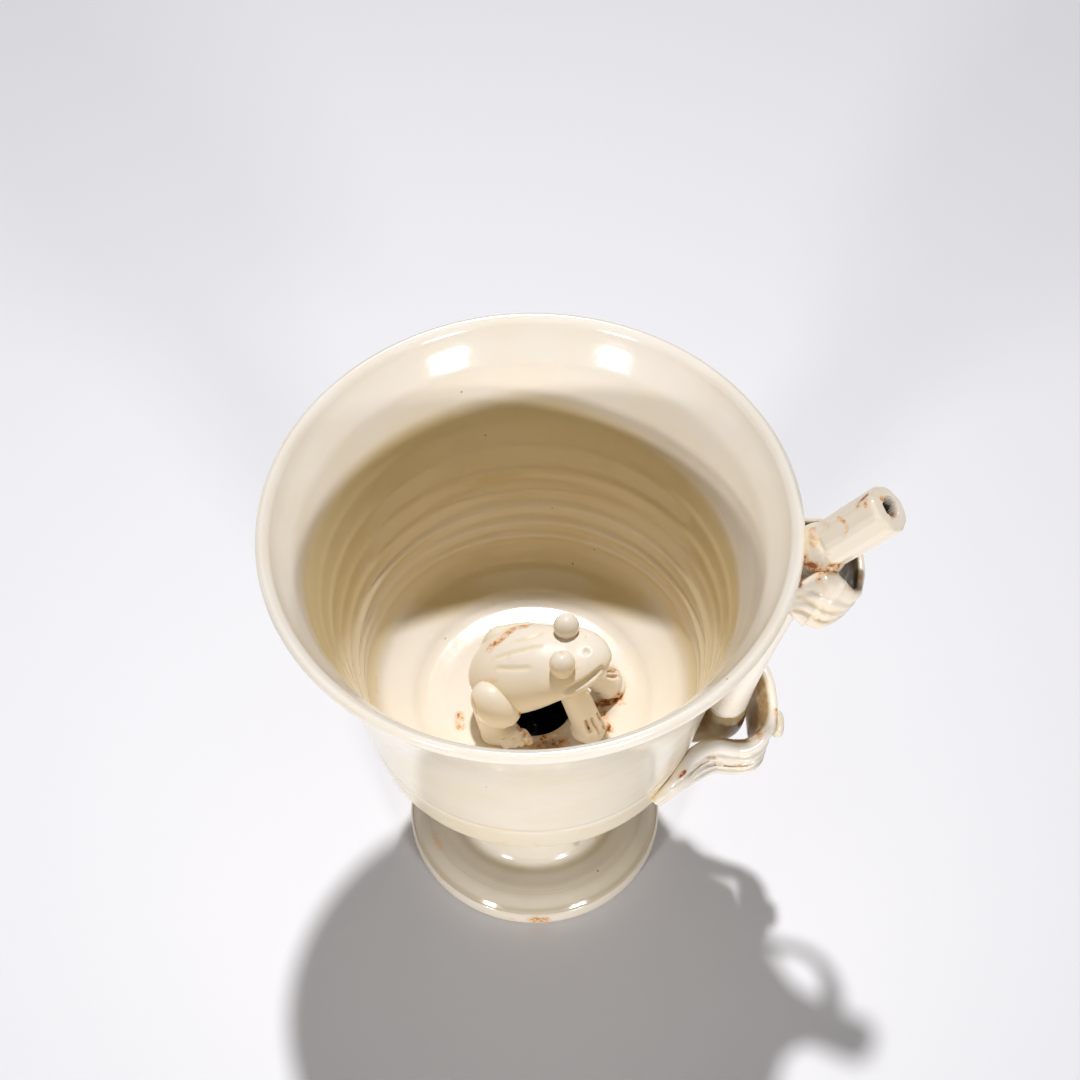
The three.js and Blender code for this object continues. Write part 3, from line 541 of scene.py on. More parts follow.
def build_stud(name, radius, half):
    low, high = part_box(name)
    centre = TO_FRAME.inverted() @ ((low + high) / 2) - Vector((0.5, 0, 0))
    steps = [(-1, 0.5), (-0.88, 0.78), (-0.6, 0.93), (-0.2, 1), (0.2, 1), (0.55, 0.94), (0.82, 0.8), (1, 0.5)]
    return swept(circle(36), [Matrix.Translation(centre) @ Matrix.Translation((half * x, 0, 0))
                              @ Matrix.Diagonal((1, radius * s, radius * s, 1)) for x, s in steps])


# The frog, modelled with its nose towards +X and heights from the floor, then set down by FROG_PLACE

FROG_PLACE = Matrix.Translation((1, -2, floor_height(11.2))) @ Matrix.Rotation(radians(-6), 4, "Z")
FROG_TAIL, FROG_NOSE = -12.2, 12.8
CLAY_GRAIN = 0.17


def swelling(x):
    """Height of the frog's middle line at x, then its half width, and its rise above and fall below that line."""
    trunk = sqrt(max(0, 1 - ((x + 3) / 9.2) ** 2))
    head_at = (x - 5) / (7.6 if x < 5 else 7.8)
    head = sqrt(max(0, 1 - head_at ** 2)) if x < 5 else max(0, 1 - head_at ** 1.7) ** 0.58
    merge = lambda a, b: ((a * trunk) ** 6 + (b * head) ** 6) ** (1 / 6)
    return 12.7 + 0.32 * (x + 3), merge(8.1, 6.9), merge(6.4, 4.5), merge(7.8, 4.4)


def build_frog_body():
    stations = []
    steps = 130
    for i in range(steps + 1):
        share = 0.5 - 0.5 * cos(pi * i / steps)
        x = mix(FROG_TAIL, FROG_NOSE, 0.0005 + 0.999 * share)
        level, half, rise, fall = swelling(x)
        middle = level + (rise - fall) / 2
        stations.append(Matrix.Translation((x, 0, middle)) @ Matrix.Diagonal((1, half, (rise + fall) / 2, 1)))
    bm = swept(circle(150), stations)
    bmesh.ops.transform(bm, matrix=FROG_PLACE, verts=bm.verts)
    return bm


def build_frog_eye(side):
    eye = roll((4.6, 3.9 * side, 19.7), (4.6, 3.9 * side, 20.75), (2.1, 2.1), (2.25, 2.25), up=(1, 0, 0), rounds=9)
    bmesh.ops.transform(eye, matrix=FROG_PLACE, verts=eye.verts)
    return eye


def build_hind_leg(side):
    at = lambda x, y, z: Vector((x, side * y, z))
    if side < 0:
        thigh = ball(at(-6.7, 6.5, 10.4), (4.9, 3.8, 4.1), heading((2.7, -1.0, -2.7)), 48, 32)
    else:
        thigh = roll(at(-6.6, 5.0, 11.6), at(-2.5, 5.7, 13.0), (3.6, 3.6), (3.1, 3.0), rounds=7)
    parts = [thigh,
             roll(at(-8.5, 6.4, 8.8), at(-7.4, 6.3, 1.8), (2.3, 2.3), (2.3, 2.3), up=(1, 0, 0)),
             roll(at(-7.5, 6.4, 1.1), at(-4.4, 6.5, 1), (2.5, 1.8), (2.5, 1.5))]
    for k in range(4):
        root, tip = at(-5.8 + 1.2 * k, 6.6, 1.3), at(-4.8 + 1.3 * k, 8.8 - 0.4 * k, 0.85)
        parts.append(roll(root, tip, (1.1, 1.2), (0.85, 0.8)))
    bm = joined(parts, CLAY_GRAIN)
    bmesh.ops.transform(bm, matrix=FROG_PLACE, verts=bm.verts)
    return bm


def build_foreleg(side):
    step, spread = (3.0, 0.8) if side > 0 else (0.2, 0)
    at = lambda x, y, z: Vector((x + step, side * y, z))
    parts = [roll(at(6.2 - step * 0.8, 2.8, 11), at(8.8, 4.2 + spread, 2.9), (2.8, 2.5), (3.1, 2.6), up=(1, 0, 0)),
             roll(at(8.4, 4.2 + spread, 1.8), at(9.8, 4.6 + spread, 1.4), (3.2, 1.9), (3.1, 1.5))]
    for k in range(4):
        tip = at(12.1 - 1.2 * spread - 1.1 * k + 0.12 * k * k, 3.2 + spread + 1.25 * k - 0.12 * k * k, 0.7)
        parts.append(roll(at(9.9 - 0.5 * k, 3.7 + spread + 0.5 * k, 1.4), tip, (1.2, 1.3), (0.95, 0.8)))
    bm = joined(parts, CLAY_GRAIN)
    bmesh.ops.transform(bm, matrix=FROG_PLACE, verts=bm.verts)
    return bm


# Grooves and pits, placed by where the photograph shows them: width and depth in mm, then pixels

BACK_LINES = [
    ((542.3, 633.6), (527, 639), (512.8, 642.5)), ((542.3, 645.4), (521, 650.7), (494, 659)),
    ((530.5, 667.5), (511.6, 669), (496.3, 667.8)),
]
STRAP_LINES = [
    ((797, 594.5), (808.6, 600.4), (822.8, 609.6), (836, 613)),
    ((790, 610.5), (800.4, 610.1), (808.6, 614.7), (818.8, 619.8), (828, 621.5)),
]
GROOVES = {
    "frog_body": [
        (1.0, 1.0, (564, 692), (573, 688.5), (586, 681.4), (596.6, 673.7), (603.7, 667.2)),
        (0.9, -0.25, (566, 697), (575, 693.5), (588, 686), (598, 678)),
        (0.6, 0.28, *BACK_LINES[0]), (0.6, 0.28, *BACK_LINES[1]), (0.6, 0.26, *BACK_LINES[2]),
        (0.85, 0.45, (588.2, 637), (588.5, 637.3)), (0.85, 0.45, (586.5, 651.3), (586.8, 651.6)),
    ],
    "frog_foreleg_right": [
        (0.6, 1.2, (586, 720), (588, 726), (591, 733)), (0.5, 1.1, (591.5, 717.5), (595, 725), (599.5, 733)),
        (0.5, 1.1, (596.5, 712.5), (601, 720), (605, 728)),
    ],
    "frog_foreleg_left": [
        (0.6, 0.7, (607, 671.5), (612, 670.5), (618, 671.5)), (0.6, 0.7, (607, 675.5), (613, 676.5), (619, 676)),
    ],
    "frog_hind_leg_right": [
        (0.6, 0.9, (498, 728), (504, 739)), (0.6, 0.9, (508, 727), (515, 739)), (0.6, 1.0, (517, 726), (525, 737)),
    ],
    "mouthpiece": [
        (0.9, 0.25, (815, 522), (816.7, 537.1), (820.8, 546.3), (828, 556)),
    ],
    "upper_strap": [
        (0.8, 0.3, *STRAP_LINES[0]), (0.5, 0.4, *STRAP_LINES[1]), (0.5, 0.2, (800, 587), (815, 592), (835, 603)),
    ],
    "lower_strap": [
        (0.6, 0.3, (690, 772), (697.1, 766.1), (705.3, 758), (711.4, 756.4), (721.6, 760.5), (747.1, 762.6),
         (762, 760)),
        (0.5, 0.35, (676, 783), (693, 771.2), (703.3, 763.1), (711.4, 761), (721.6, 764.1), (746.1, 765.1),
         (756, 762.5)),
        (0.6, 0.3, (661, 795), (680.8, 781.4), (697.1, 770.2), (706.3, 764.5), (726.7, 766.8), (752, 766)),
    ],
}


# The glaze: base colours where it is thin and where it pooled, the colours of painted shade, and the colours of what
# the kiln left

IVORY = (0.89, 0.825, 0.745, 1)
# the pooled colour is also laid as painted shade on the inner wall and inside the straps
POOLED_AND_SHADE = (0.82, 0.665, 0.385, 1)
STONE = (0.81, 0.72, 0.61, 1)
FROG_POOLED = (0.84, 0.72, 0.5, 1)
FOOT_THIN = (0.85, 0.765, 0.65, 1)
# pooled colour of the foot, also laid as painted shade over its disc
FOOT_POOLED_AND_SHADE = (0.55, 0.455, 0.31, 1)
PALE_RUST = (0.76, 0.4, 0.14, 1)
DEEP_RUST = (0.27, 0.075, 0.02, 1)
SPECK = (0.16, 0.11, 0.07, 1)
# near-black painted shade for the drinking hole, the foot's chamber, the bore and shaded inner faces
SHADE_BLACK = (0.006, 0.004, 0.003, 1)
CLOUD_SHARE = 0.2
SPECK_SHARE = 0.7
RUST_ROUGHNESS = 0.42
RIPPLE_STRENGTH, RIPPLE_DEPTH = 0.25, 0.0003
def new_group(name, inputs, outputs):
    tree = bpy.data.node_groups.new(name, "ShaderNodeTree")
    for label, kind, value in inputs:
        socket = tree.interface.new_socket(name=label, in_out="INPUT", socket_type=kind)
        if value is not None:
            socket.default_value = value
    for label, kind in outputs:
        tree.interface.new_socket(name=label, in_out="OUTPUT", socket_type=kind)
    return tree, tree.nodes.new("NodeGroupInput"), tree.nodes.new("NodeGroupOutput")


def node(tree, kind, values=None, links=None, **settings):
    """A node with its settings, its sockets' values and what is linked into them."""
    made = tree.nodes.new(kind)
    for key, value in settings.items():
        setattr(made, key, value)
    for key, value in (values or {}).items():
        made.inputs[key].default_value = value
    for key, source in (links or {}).items():
        tree.links.new(source, made.inputs[key])
    return made


def mix_colour(tree, factor, a, b):
    made = tree.nodes.new("ShaderNodeMix")
    made.data_type = "RGBA"
    for key, source in ((0, factor), (6, a), (7, b)):
        if isinstance(source, (float, int, tuple)):
            made.inputs[key].default_value = source
        else:
            tree.links.new(source, made.inputs[key])
    return made.outputs[2]


def ramp(tree, source, low, high, to_low=0.0, to_high=1.0):
    made = node(tree, "ShaderNodeMapRange", {"From Min": low, "From Max": high, "To Min": to_low, "To Max": to_high},
                {"Value": source}, interpolation_type="SMOOTHSTEP")
    return made.outputs[0]


def maths(tree, kind, a, b):
    made = tree.nodes.new("ShaderNodeMath")
    made.operation = kind
    for key, source in enumerate((a, b)):
        if isinstance(source, (float, int)):
            made.inputs[key].default_value = source
        else:
            tree.links.new(source, made.inputs[key])
    return made.outputs[0]


def glaze_tone_group():
    """Colour of the glaze: thin and pale on edges, thick and yellow where it ran together and where shade is painted
    in that colour.
    """
    tree, into, out = new_group(
        "glaze_tone",
        [("Place", "NodeSocketVector", None), ("Hollow", "NodeSocketFloat", 0.0), ("Thin", "NodeSocketColor", None),
         ("Thick_And_Shade", "NodeSocketColor", None), ("Cloud", "NodeSocketFloat", 0.3)],
        [("Color", "NodeSocketColor")])
    place = into.outputs["Place"]
    cloud = node(tree, "ShaderNodeTexNoise", {"Scale": 60.0, "Detail": 3.0}, {"Vector": place})
    cloudy = maths(tree, "MULTIPLY", ramp(tree, cloud.outputs[0], 0.35, 0.7), into.outputs["Cloud"])
    share = maths(tree, "ADD", cloudy, into.outputs["Hollow"])
    share = maths(tree, "MINIMUM", share, 1.35)
    tree.links.new(mix_colour(tree, share, into.outputs["Thin"], into.outputs["Thick_And_Shade"]), out.inputs["Color"])
    return tree


def iron_and_shade_group():
    """Rust that bled through the glaze and painted shadows in rust colour: a painted mask broken up by noise, fine
    dark specks, and near-black painted shade.
    """
    tree, into, out = new_group(
        "iron_bleed_and_shade",
        [("Place", "NodeSocketVector", None), ("Color", "NodeSocketColor", None), ("Rust_And_Shadow", "NodeSocketFloat", 0.0),
         ("Pale Rust", "NodeSocketColor", None), ("Deep Rust", "NodeSocketColor", None),
         ("Specks", "NodeSocketFloat", 0.5), ("Painted_Shade", "NodeSocketFloat", 0.0)],
        [("Color", "NodeSocketColor"), ("Mask", "NodeSocketFloat")])
    place = into.outputs["Place"]
    grain = node(tree, "ShaderNodeTexNoise", {"Scale": 3600.0, "Detail": 4.0, "Roughness": 0.7}, {"Vector": place})
    drift = node(tree, "ShaderNodeTexNoise", {"Scale": 900.0, "Detail": 3.0}, {"Vector": place})
    amount = maths(tree, "MULTIPLY", into.outputs["Rust_And_Shadow"], ramp(tree, drift.outputs[0], 0.3, 0.7, 0.35, 1.45))
    near = maths(tree, "MINIMUM", maths(tree, "MULTIPLY", into.outputs["Rust_And_Shadow"], 3.0), 1.0)
    loose = maths(tree, "MULTIPLY", maths(tree, "SUBTRACT", grain.outputs[0], 0.5), 1.1)
    level = maths(tree, "ADD", amount, maths(tree, "MULTIPLY", loose, near))
    pale = maths(tree, "MULTIPLY", ramp(tree, level, 0.08, 0.7), near)
    deep = maths(tree, "MULTIPLY", ramp(tree, level, 0.6, 1.05), near)
    colour = mix_colour(tree, maths(tree, "MULTIPLY", pale, 0.8), into.outputs["Color"], into.outputs["Pale Rust"])
    colour = mix_colour(tree, maths(tree, "MULTIPLY", deep, 0.9), colour, into.outputs["Deep Rust"])
    cells = node(tree, "ShaderNodeTexVoronoi", {"Scale": 260.0}, {"Vector": place})
    chance = node(tree, "ShaderNodeSeparateColor", links={"Color": cells.outputs["Color"]})
    small = ramp(tree, cells.outputs["Distance"], 0.075, 0.03)
    rare = ramp(tree, chance.outputs[0], 0.9, 0.92)
    speck = maths(tree, "MULTIPLY", maths(tree, "MULTIPLY", small, rare), into.outputs["Specks"])
    colour = mix_colour(tree, speck, colour, SPECK)
    # near-black painted shade laid over the colour
    colour = mix_colour(tree, into.outputs["Painted_Shade"], colour, SHADE_BLACK)
    tree.links.new(colour, out.inputs["Color"])
    tree.links.new(pale, out.inputs["Mask"])
    return tree


def ripple_group():
    """Height of the glaze: a slow wave where it ran, and a fine skin."""
    tree, into, out = new_group(
        "glaze_ripple", [("Place", "NodeSocketVector", None), ("Wave", "NodeSocketFloat", 1.0),
                         ("Skin", "NodeSocketFloat", 0.15)],
        [("Height", "NodeSocketFloat")])
    place = into.outputs["Place"]
    wave = node(tree, "ShaderNodeTexNoise", {"Scale": 150.0, "Detail": 2.0}, {"Vector": place})
    skin = node(tree, "ShaderNodeTexNoise", {"Scale": 1400.0, "Detail": 2.0}, {"Vector": place})
    height = maths(tree, "ADD", maths(tree, "MULTIPLY", wave.outputs[0], into.outputs["Wave"]),
                   maths(tree, "MULTIPLY", skin.outputs[0], into.outputs["Skin"]))
    tree.links.new(height, out.inputs["Height"])
    return tree


TONE, IRON_AND_SHADE, RIPPLE = glaze_tone_group(), iron_and_shade_group(), ripple_group()


def glaze(name, thin, thick, gloss, shine):
    """The glaze of one piece: its thin colour, its pooled colour that also serves as painted shade, its roughness and
    how much it mirrors.
    """
    material = bpy.data.materials.new(name)
    material.use_nodes = True
    tree = material.node_tree
    shader = tree.nodes["Principled BSDF"]
    place = node(tree, "ShaderNodeTexCoord").outputs["Object"]
    pooling_and_shade = node(tree, "ShaderNodeAttribute", attribute_name="pooling_and_shade").outputs["Fac"]
    rust_and_shadow = node(tree, "ShaderNodeAttribute", attribute_name="rust_and_shadow").outputs["Fac"]
    painted_shade = node(tree, "ShaderNodeAttribute", attribute_name="painted_shade").outputs["Fac"]
    tone = node(tree, "ShaderNodeGroup", node_tree=TONE)
    iron_and_shade = node(tree, "ShaderNodeGroup", node_tree=IRON_AND_SHADE)
    ripple = node(tree, "ShaderNodeGroup", node_tree=RIPPLE)
    for group in (tone, iron_and_shade, ripple):
        tree.links.new(place, group.inputs["Place"])
    tone.inputs["Thin"].default_value = thin
    tone.inputs["Thick_And_Shade"].default_value = thick
    tone.inputs["Cloud"].default_value = CLOUD_SHARE
    tree.links.new(pooling_and_shade, tone.inputs["Hollow"])
    tree.links.new(tone.outputs["Color"], iron_and_shade.inputs["Color"])
    tree.links.new(rust_and_shadow, iron_and_shade.inputs["Rust_And_Shadow"])
    tree.links.new(painted_shade, iron_and_shade.inputs["Painted_Shade"])
    iron_and_shade.inputs["Pale Rust"].default_value = PALE_RUST
    iron_and_shade.inputs["Deep Rust"].default_value = DEEP_RUST
    iron_and_shade.inputs["Specks"].default_value = SPECK_SHARE
    tree.links.new(iron_and_shade.outputs["Color"], shader.inputs["Base Color"])
    rough = ramp(tree, iron_and_shade.outputs["Mask"], 0.0, 1.0, gloss, RUST_ROUGHNESS)
    tree.links.new(rough, shader.inputs["Roughness"])
    shader.inputs["IOR"].default_value = 1.5
    shader.inputs["Specular IOR Level"].default_value = shine
    bump = node(tree, "ShaderNodeBump", {"Strength": RIPPLE_STRENGTH, "Distance": RIPPLE_DEPTH},
                {"Height": ripple.outputs["Height"]})
    tree.links.new(bump.outputs[0], shader.inputs["Normal"])
    return material


# Thin colour, pooled colour (also laid as painted shade), roughness and shine of each sort of piece
GLAZES = {
    "thrown": (IVORY, POOLED_AND_SHADE, 0.13, 0.5),
    "pared": (STONE, POOLED_AND_SHADE, 0.13, 0.5),
    "foot": (FOOT_THIN, FOOT_POOLED_AND_SHADE, 0.13, 0.5),
    "frog": (IVORY, FROG_POOLED, 0.35, 0.3),
}
PARED_PIECES = ("mouthpiece", "upper_strap", "lower_stud", "upper_stud")


def glaze_of(name):
    sort = "frog" if name.startswith("frog") else "pared" if name in PARED_PIECES else "thrown"
    return glaze("glaze_" + name, *GLAZES["foot" if name == "foot" else sort])


# Marks on the glaze
def hollow_values(bm, reach):
    """How far each point lies in a hollow, from -1 on an edge to 1 in a groove."""
    bm.normal_update()
    bm.verts.index_update()
    values = []
    for v in bm.verts:
        around = [e.other_vert(v).co for e in v.link_edges]
        if not around:
            values.append(0)
            continue
        middle = sum(around, Vector()) / len(around)
        span = sum((p - v.co).length for p in around) / len(around)
        values.append((middle - v.co).dot(v.normal) / max(span * span, 1e-6))
    for _ in range(reach):
        values = [(values[v.index] * 2 + sum(values[e.other_vert(v).index] for e in v.link_edges))
                  / (2 + len(v.link_edges)) for v in bm.verts]
    return values


# What the kiln and the glaze left, and painted shadows and shade in rust colour, by where the photograph shows them:
# width in mm, strength, then pixels
RUST_AND_SHADOW = {
    "mouthpiece and knuckle": [
        (1.7, 1.0, (804.5, 561), (811, 566), (824, 569), (837, 566.5)), (1.2, 0.55, (812.5, 530), (813.5, 543)),
        (1.0, 0.35, (818.8, 521), (823, 523.5), (828, 526)), (0.7, 0.8, (865.7, 496.3), (866.2, 505.5)),
        (0.65, 0.6, (838.2, 517.8), (845.3, 522.9), (846.8, 529), (843.3, 535.1)),
        (1.0, 1.1, (858.6, 504.5), (865.7, 496.3)), (0.7, 0.9, (881.5, 499), (884, 501)),
        (0.8, 0.7, (893.5, 514), (892, 517)),
    ],
    "upper strap": [
        (1.2, 0.75, (801, 576), (809.6, 576), (819, 581)), (0.9, 0.9, (801, 577), (800, 585)),
        (1.8, 0.3, (818, 582), (828, 592)), (0.8, 0.8, (853, 561), (855.5, 567)),
        (0.9, 0.6, (849, 588), (856, 583)), (0.7, 0.7, (858, 571), (861, 578)),
        (0.4, 0.4, (800.4, 610.1), (808.6, 614.7), (818.8, 619.8)),
    ],
    "lower strap and foot of the tube": [
        (0.6, 1.0, (678.8, 776.8), (684.9, 772)), (1.0, 0.4, (708, 757), (714, 757.5)),
        (0.9, 0.45, (714, 764), (721, 763.3)), (0.4, 0.7, (734, 765.2), (746, 765.3)),
        (1.4, 0.3, (723, 703), (712, 706)), (1.0, 0.4, (707, 712), (726, 718.5), (742, 714.5)),
        # painted shade in rust colour on the tube's shaded elbow and the wall beside it
        (3.0, 0.45, (705, 722), (720, 728), (735, 726)), (1.1, 0.3, (697, 733), (703, 723)),
        # painted shade in rust colour on the lower strap's inner face
        (2.4, 0.6, (746, 736), (757, 733), (755, 722)), (1.6, 0.3, (765, 700), (762, 712)),
        (0.9, 1.0, (776, 711), (776.5, 723)),
    ],
    "foot": [
        (1.8, 0.85, (534, 920.5), (544, 920.5)), (0.9, 0.4, (509, 919), (513, 919.5)),
        (0.9, 0.4, (578, 915), (583, 914)), (1.3, 0.4, (446, 888), (450, 891)),
        (1.1, 0.35, (442, 875), (444, 879)), (1.8, 0.35, (440, 848), (435, 836)),
        (0.8, 0.5, (597, 838), (599, 840)), (0.4, 0.35, (416, 845), (425, 867), (440, 887), (455, 900)),
    ],
    "frog": [
        (1.7, 0.7, (527, 625), (517, 627), (508, 633), (499, 640), (490, 648)),
        (1.0, 0.5, (526, 627), (517, 629)), (1.2, 0.3, (547, 652), (555, 650), (562, 653)),
        (0.6, 0.3, (549, 656), (556, 651)), (0.6, 0.4, (581, 624), (581, 632)), (0.7, 0.3, (575, 660), (577, 669)),
        (1.3, 0.25, (509, 656), (512, 665)), (1.0, 0.3, (486, 681), (498, 680.5)),
        (0.8, 0.8, (519.5, 713), (521.5, 718)), (0.6, 0.8, (518, 725), (525, 734)),
        (0.6, 0.4, (472, 697), (476, 712), (481, 737)), (0.9, 0.3, (562, 704), (565, 710)),
        (0.5, 0.9, (586, 720.5), (589, 729)), (0.45, 0.7, (592, 718.5), (598, 730)),
        (0.45, 0.7, (597, 713), (604, 726)), (0.7, 0.5, (608, 671.3), (617, 671)),
        # the second mark on this line is painted shadow under the far paw
        (0.7, 0.5, (608, 676), (618, 676.5)), (0.9, 0.6, (591, 695), (598, 693)),
    ],
    "floor round the frog": [
        # painted shadows: the marks on this line and the first on the next lie under the far paw, right of the near
        # paw and under the belly
        (1.3, 1.1, (598, 704), (610, 702), (621, 695)), (1.2, 0.9, (601, 708), (607, 722), (610, 731)),
        (1.6, 1.0, (531, 735), (545, 738), (562, 740)), (1.3, 0.8, (459.7, 715), (460.3, 727)),
        (0.6, 0.5, (608.4, 705), (617, 704.5), (625, 703.5)), (0.8, 0.25, (618, 656), (623, 655.5)),
        (0.7, 0.35, (627.5, 661), (628.5, 665)), (0.7, 0.5, (608, 724), (610, 731)),
        # the second mark on this line is painted shadow on the floor below the hole
        (0.8, 0.25, (639, 682), (642, 683)), (2.2, 0.5, (528, 742), (545, 741), (562, 736)),
        (1.0, 0.35, (376, 676), (377, 692)),
    ],
}
POOL = {
    "frog": [(0.7, 0.6, *line) for line in BACK_LINES],
    "under the bowl": [
        (1.0, 0.8, (497, 843), (537, 845.5), (577, 843)),
        (0.4, 0.7, (444.6, 818), (480, 828), (537, 832), (591, 828), (631, 811)),
    ],
    "straps": [
        (1.1, 0.8, (651, 799), (656, 789)), (0.6, 0.7, *STRAP_LINES[0]), (0.5, 0.8, *STRAP_LINES[1]),
        (0.8, 0.6, (656, 790), (664, 779)), (0.9, 0.5, (766, 682), (764, 690)), (0.9, 0.6, (760, 717), (766, 716)),
    ],
}


def on_pieces(pixel, trees):
    """The nearest place on any piece that the camera sees at this pixel."""
    hits = [tree.ray_cast(EYE, photo_ray(*pixel)) for tree in trees.values()]
    hits = [hit for hit in hits if hit[0]]
    return min(hits, key=lambda hit: hit[3])[0] if hits else None


def marked_lines(marks, trees):
    """The marks as lines on the pieces, close enough for paint to run together."""
    lines = []
    for width, strength, *pixels in sum(marks.values(), []):
        found = [p for p in (on_pieces(pixel, trees) for pixel in pixels) if p]
        if len(found) > 1:
            span = sum((b - a).length for a, b in zip(found, found[1:]))
            steps = max(3, int(3 * span / width / (len(found) - 1)))
            lines.append((width, strength, smooth_line(found, steps)))
    return lines


def paint(bm, layer, lines, points):
    for width, strength, line in lines:
        for place in line:
            for _, index, gap in points.find_range(place, width):
                v = bm.verts[index]
                v[layer] = max(v[layer], strength * (1 - (gap / width) ** 2) ** 1.5)


def build_pieces():
    made = {
        "bowl": build_bowl(),
        "foot": build_foot(),
        "suction_tube": build_tube(),
        "mouthpiece": build_mouthpiece(),
        "lower_strap": build_lower_strap(),
        "upper_strap": build_upper_strap(),
        "lower_stud": build_stud("lower_stud", 2.4, 1.15),
        "upper_stud": build_stud("upper_stud", 1.9, 0.8),
        "frog_body": build_frog_body(),
    }
    for side, label in ((-1, "right"), (1, "left")):
        made["frog_eye_" + label] = build_frog_eye(side)
        made["frog_hind_leg_" + label] = build_hind_leg(side)
        made["frog_foreleg_" + label] = build_foreleg(side)
    for name, grooves in GROOVES.items():
        for width, depth, *pixels in grooves:
            groove(made[name], pixels, width, depth)
    return made


# height of the near rim's shadow line on the inner wall, below which shade is painted
RIM_SHADOW_LINE = 79.4
RIM_SHADOW_LINE_LEFT, RIM_SHADOW_LINE_RIGHT = -4.4, 3
SHADED_WALL = 0.95
RIM_SHADOW_ON_FLOOR = 1.3
CREST_WIDTH = 0.55
CREST_THIN_AND_LIT = 0.42


def inner_wall_painted_shade(co):
    """Painted shade: pooled glaze colour laid on the inner wall below the slanting line where the near rim's shadow
    falls, lighter at mid height as painted bounce light, paler on the crests where the glaze is thin and as a painted
    highlight, and darkest as the far rim's painted shadow on the floor behind the frog.
    """
    r, z, turn = co.xy.length, co.z, bearing(co)
    line = RIM_SHADOW_LINE + RIM_SHADOW_LINE_LEFT * blend(0, radians(55), -turn)
    line += RIM_SHADOW_LINE_RIGHT * blend(radians(60), radians(100), turn)
    # painted bounce light: the painted shade is lighter at mid height
    painted_bounce_light = 0.22 * exp(-((z - 55.5) / 6) ** 2)
    wall = SHADED_WALL * blend(line + 2.6, line - 2, z) * (1 - painted_bounce_light) * blend(26.5, 29, r)
    behind = blend(12, 22, co.y) * blend(19.5, 23.5, r) * blend(50, 45, z)
    # painted highlight on the ring crests, where the glaze is also thinner
    crests = sum(exp(-((z - height) / CREST_WIDTH) ** 2) for height in RING_HEIGHTS[1:4])
    return max(wall * (1 - CREST_THIN_AND_LIT * crests), RIM_SHADOW_ON_FLOOR * behind)


def foot_glaze_and_shade(radius):
    """The glaze lies thick in the foot's three folds and thin on its edge; the pooled colour over the whole disc is
    also painted shade, where the bowl shades it.
    """
    folds = (0.5 * exp(-((radius - 15.5) / 0.8) ** 2) + 0.15 * exp(-((radius - 20) / 0.3) ** 2)
             + 0.45 * exp(-((radius - 22.5) / 0.35) ** 2))
    return (0.03 + 0.34 * blend(14.2, 15.8, radius) + folds) * (1 - 0.8 * blend(22.7, 23.1, radius))


def glaze_thickness_and_shade(name, co):
    """How thick the glaze lies by its place on the cup, and where shade is painted on the inner wall, the floor
    behind the frog and the foot's disc.
    """
    r, z = co.xy.length, co.z
    if name == "bowl" and z > 42 and 12 < r < wall_radius(z) - WALL / 2:
        return inner_wall_painted_shade(co)
    if name == "bowl" and r > 25:
        return 0.2 + 0.2 * blend(47, 41, z) if z < 90 else 0.05
    if name == "foot" and r > 11:
        return foot_glaze_and_shade(r)
    return 0


# Middle of the ring that each strap makes, and how dark the painted shade on its inner face is
STRAPS_INSIDE = {
    "lower_strap": (tube_point(41.4) + Vector((0.5, 0, 0)), 0.45),
    "upper_strap": (tube_point(84.5), 0.88),
}
# pooled colour and rust laid as painted shade on the straps' inner faces
STRAP_SHADE_POOL, STRAP_SHADE_RUST = 0.9, 0.5
TUBE_FOOT = 42.6
# pooled colour, rust and near-black laid as painted shade on the tube's elbow
TUBE_FOOT_SHADE_RUST, TUBE_FOOT_SHADE_DARK = 0.4, 0.4
# Painted shadow of the frog on the bowl's floor, in rust and near-black: place, radius and strength
FROG_SHADOWS_ON_FLOOR = [(Vector((2.8, -9.8)), 3.8, 1), (Vector((12.5, -2.5)), 2.2, 0.6)]
FROG_SHADOW_RUST, FROG_SHADOW_DARK = 0.7, 0.5
CREVICE = 0.5
MOST_POOLED = 1.3


def bore_painted_shade(co):
    """Near-black painted shade down inside the mouthpiece's bore."""
    place = co - tube_point(KNEE)
    along = place.dot(MOUTH_WAY)
    if 0 < along < MOUTH_LENGTH - 0.4 and (place - along * MOUTH_WAY).length < 2:
        return blend(MOUTH_LENGTH - 0.5, MOUTH_LENGTH - 1.8, along)
    return 0


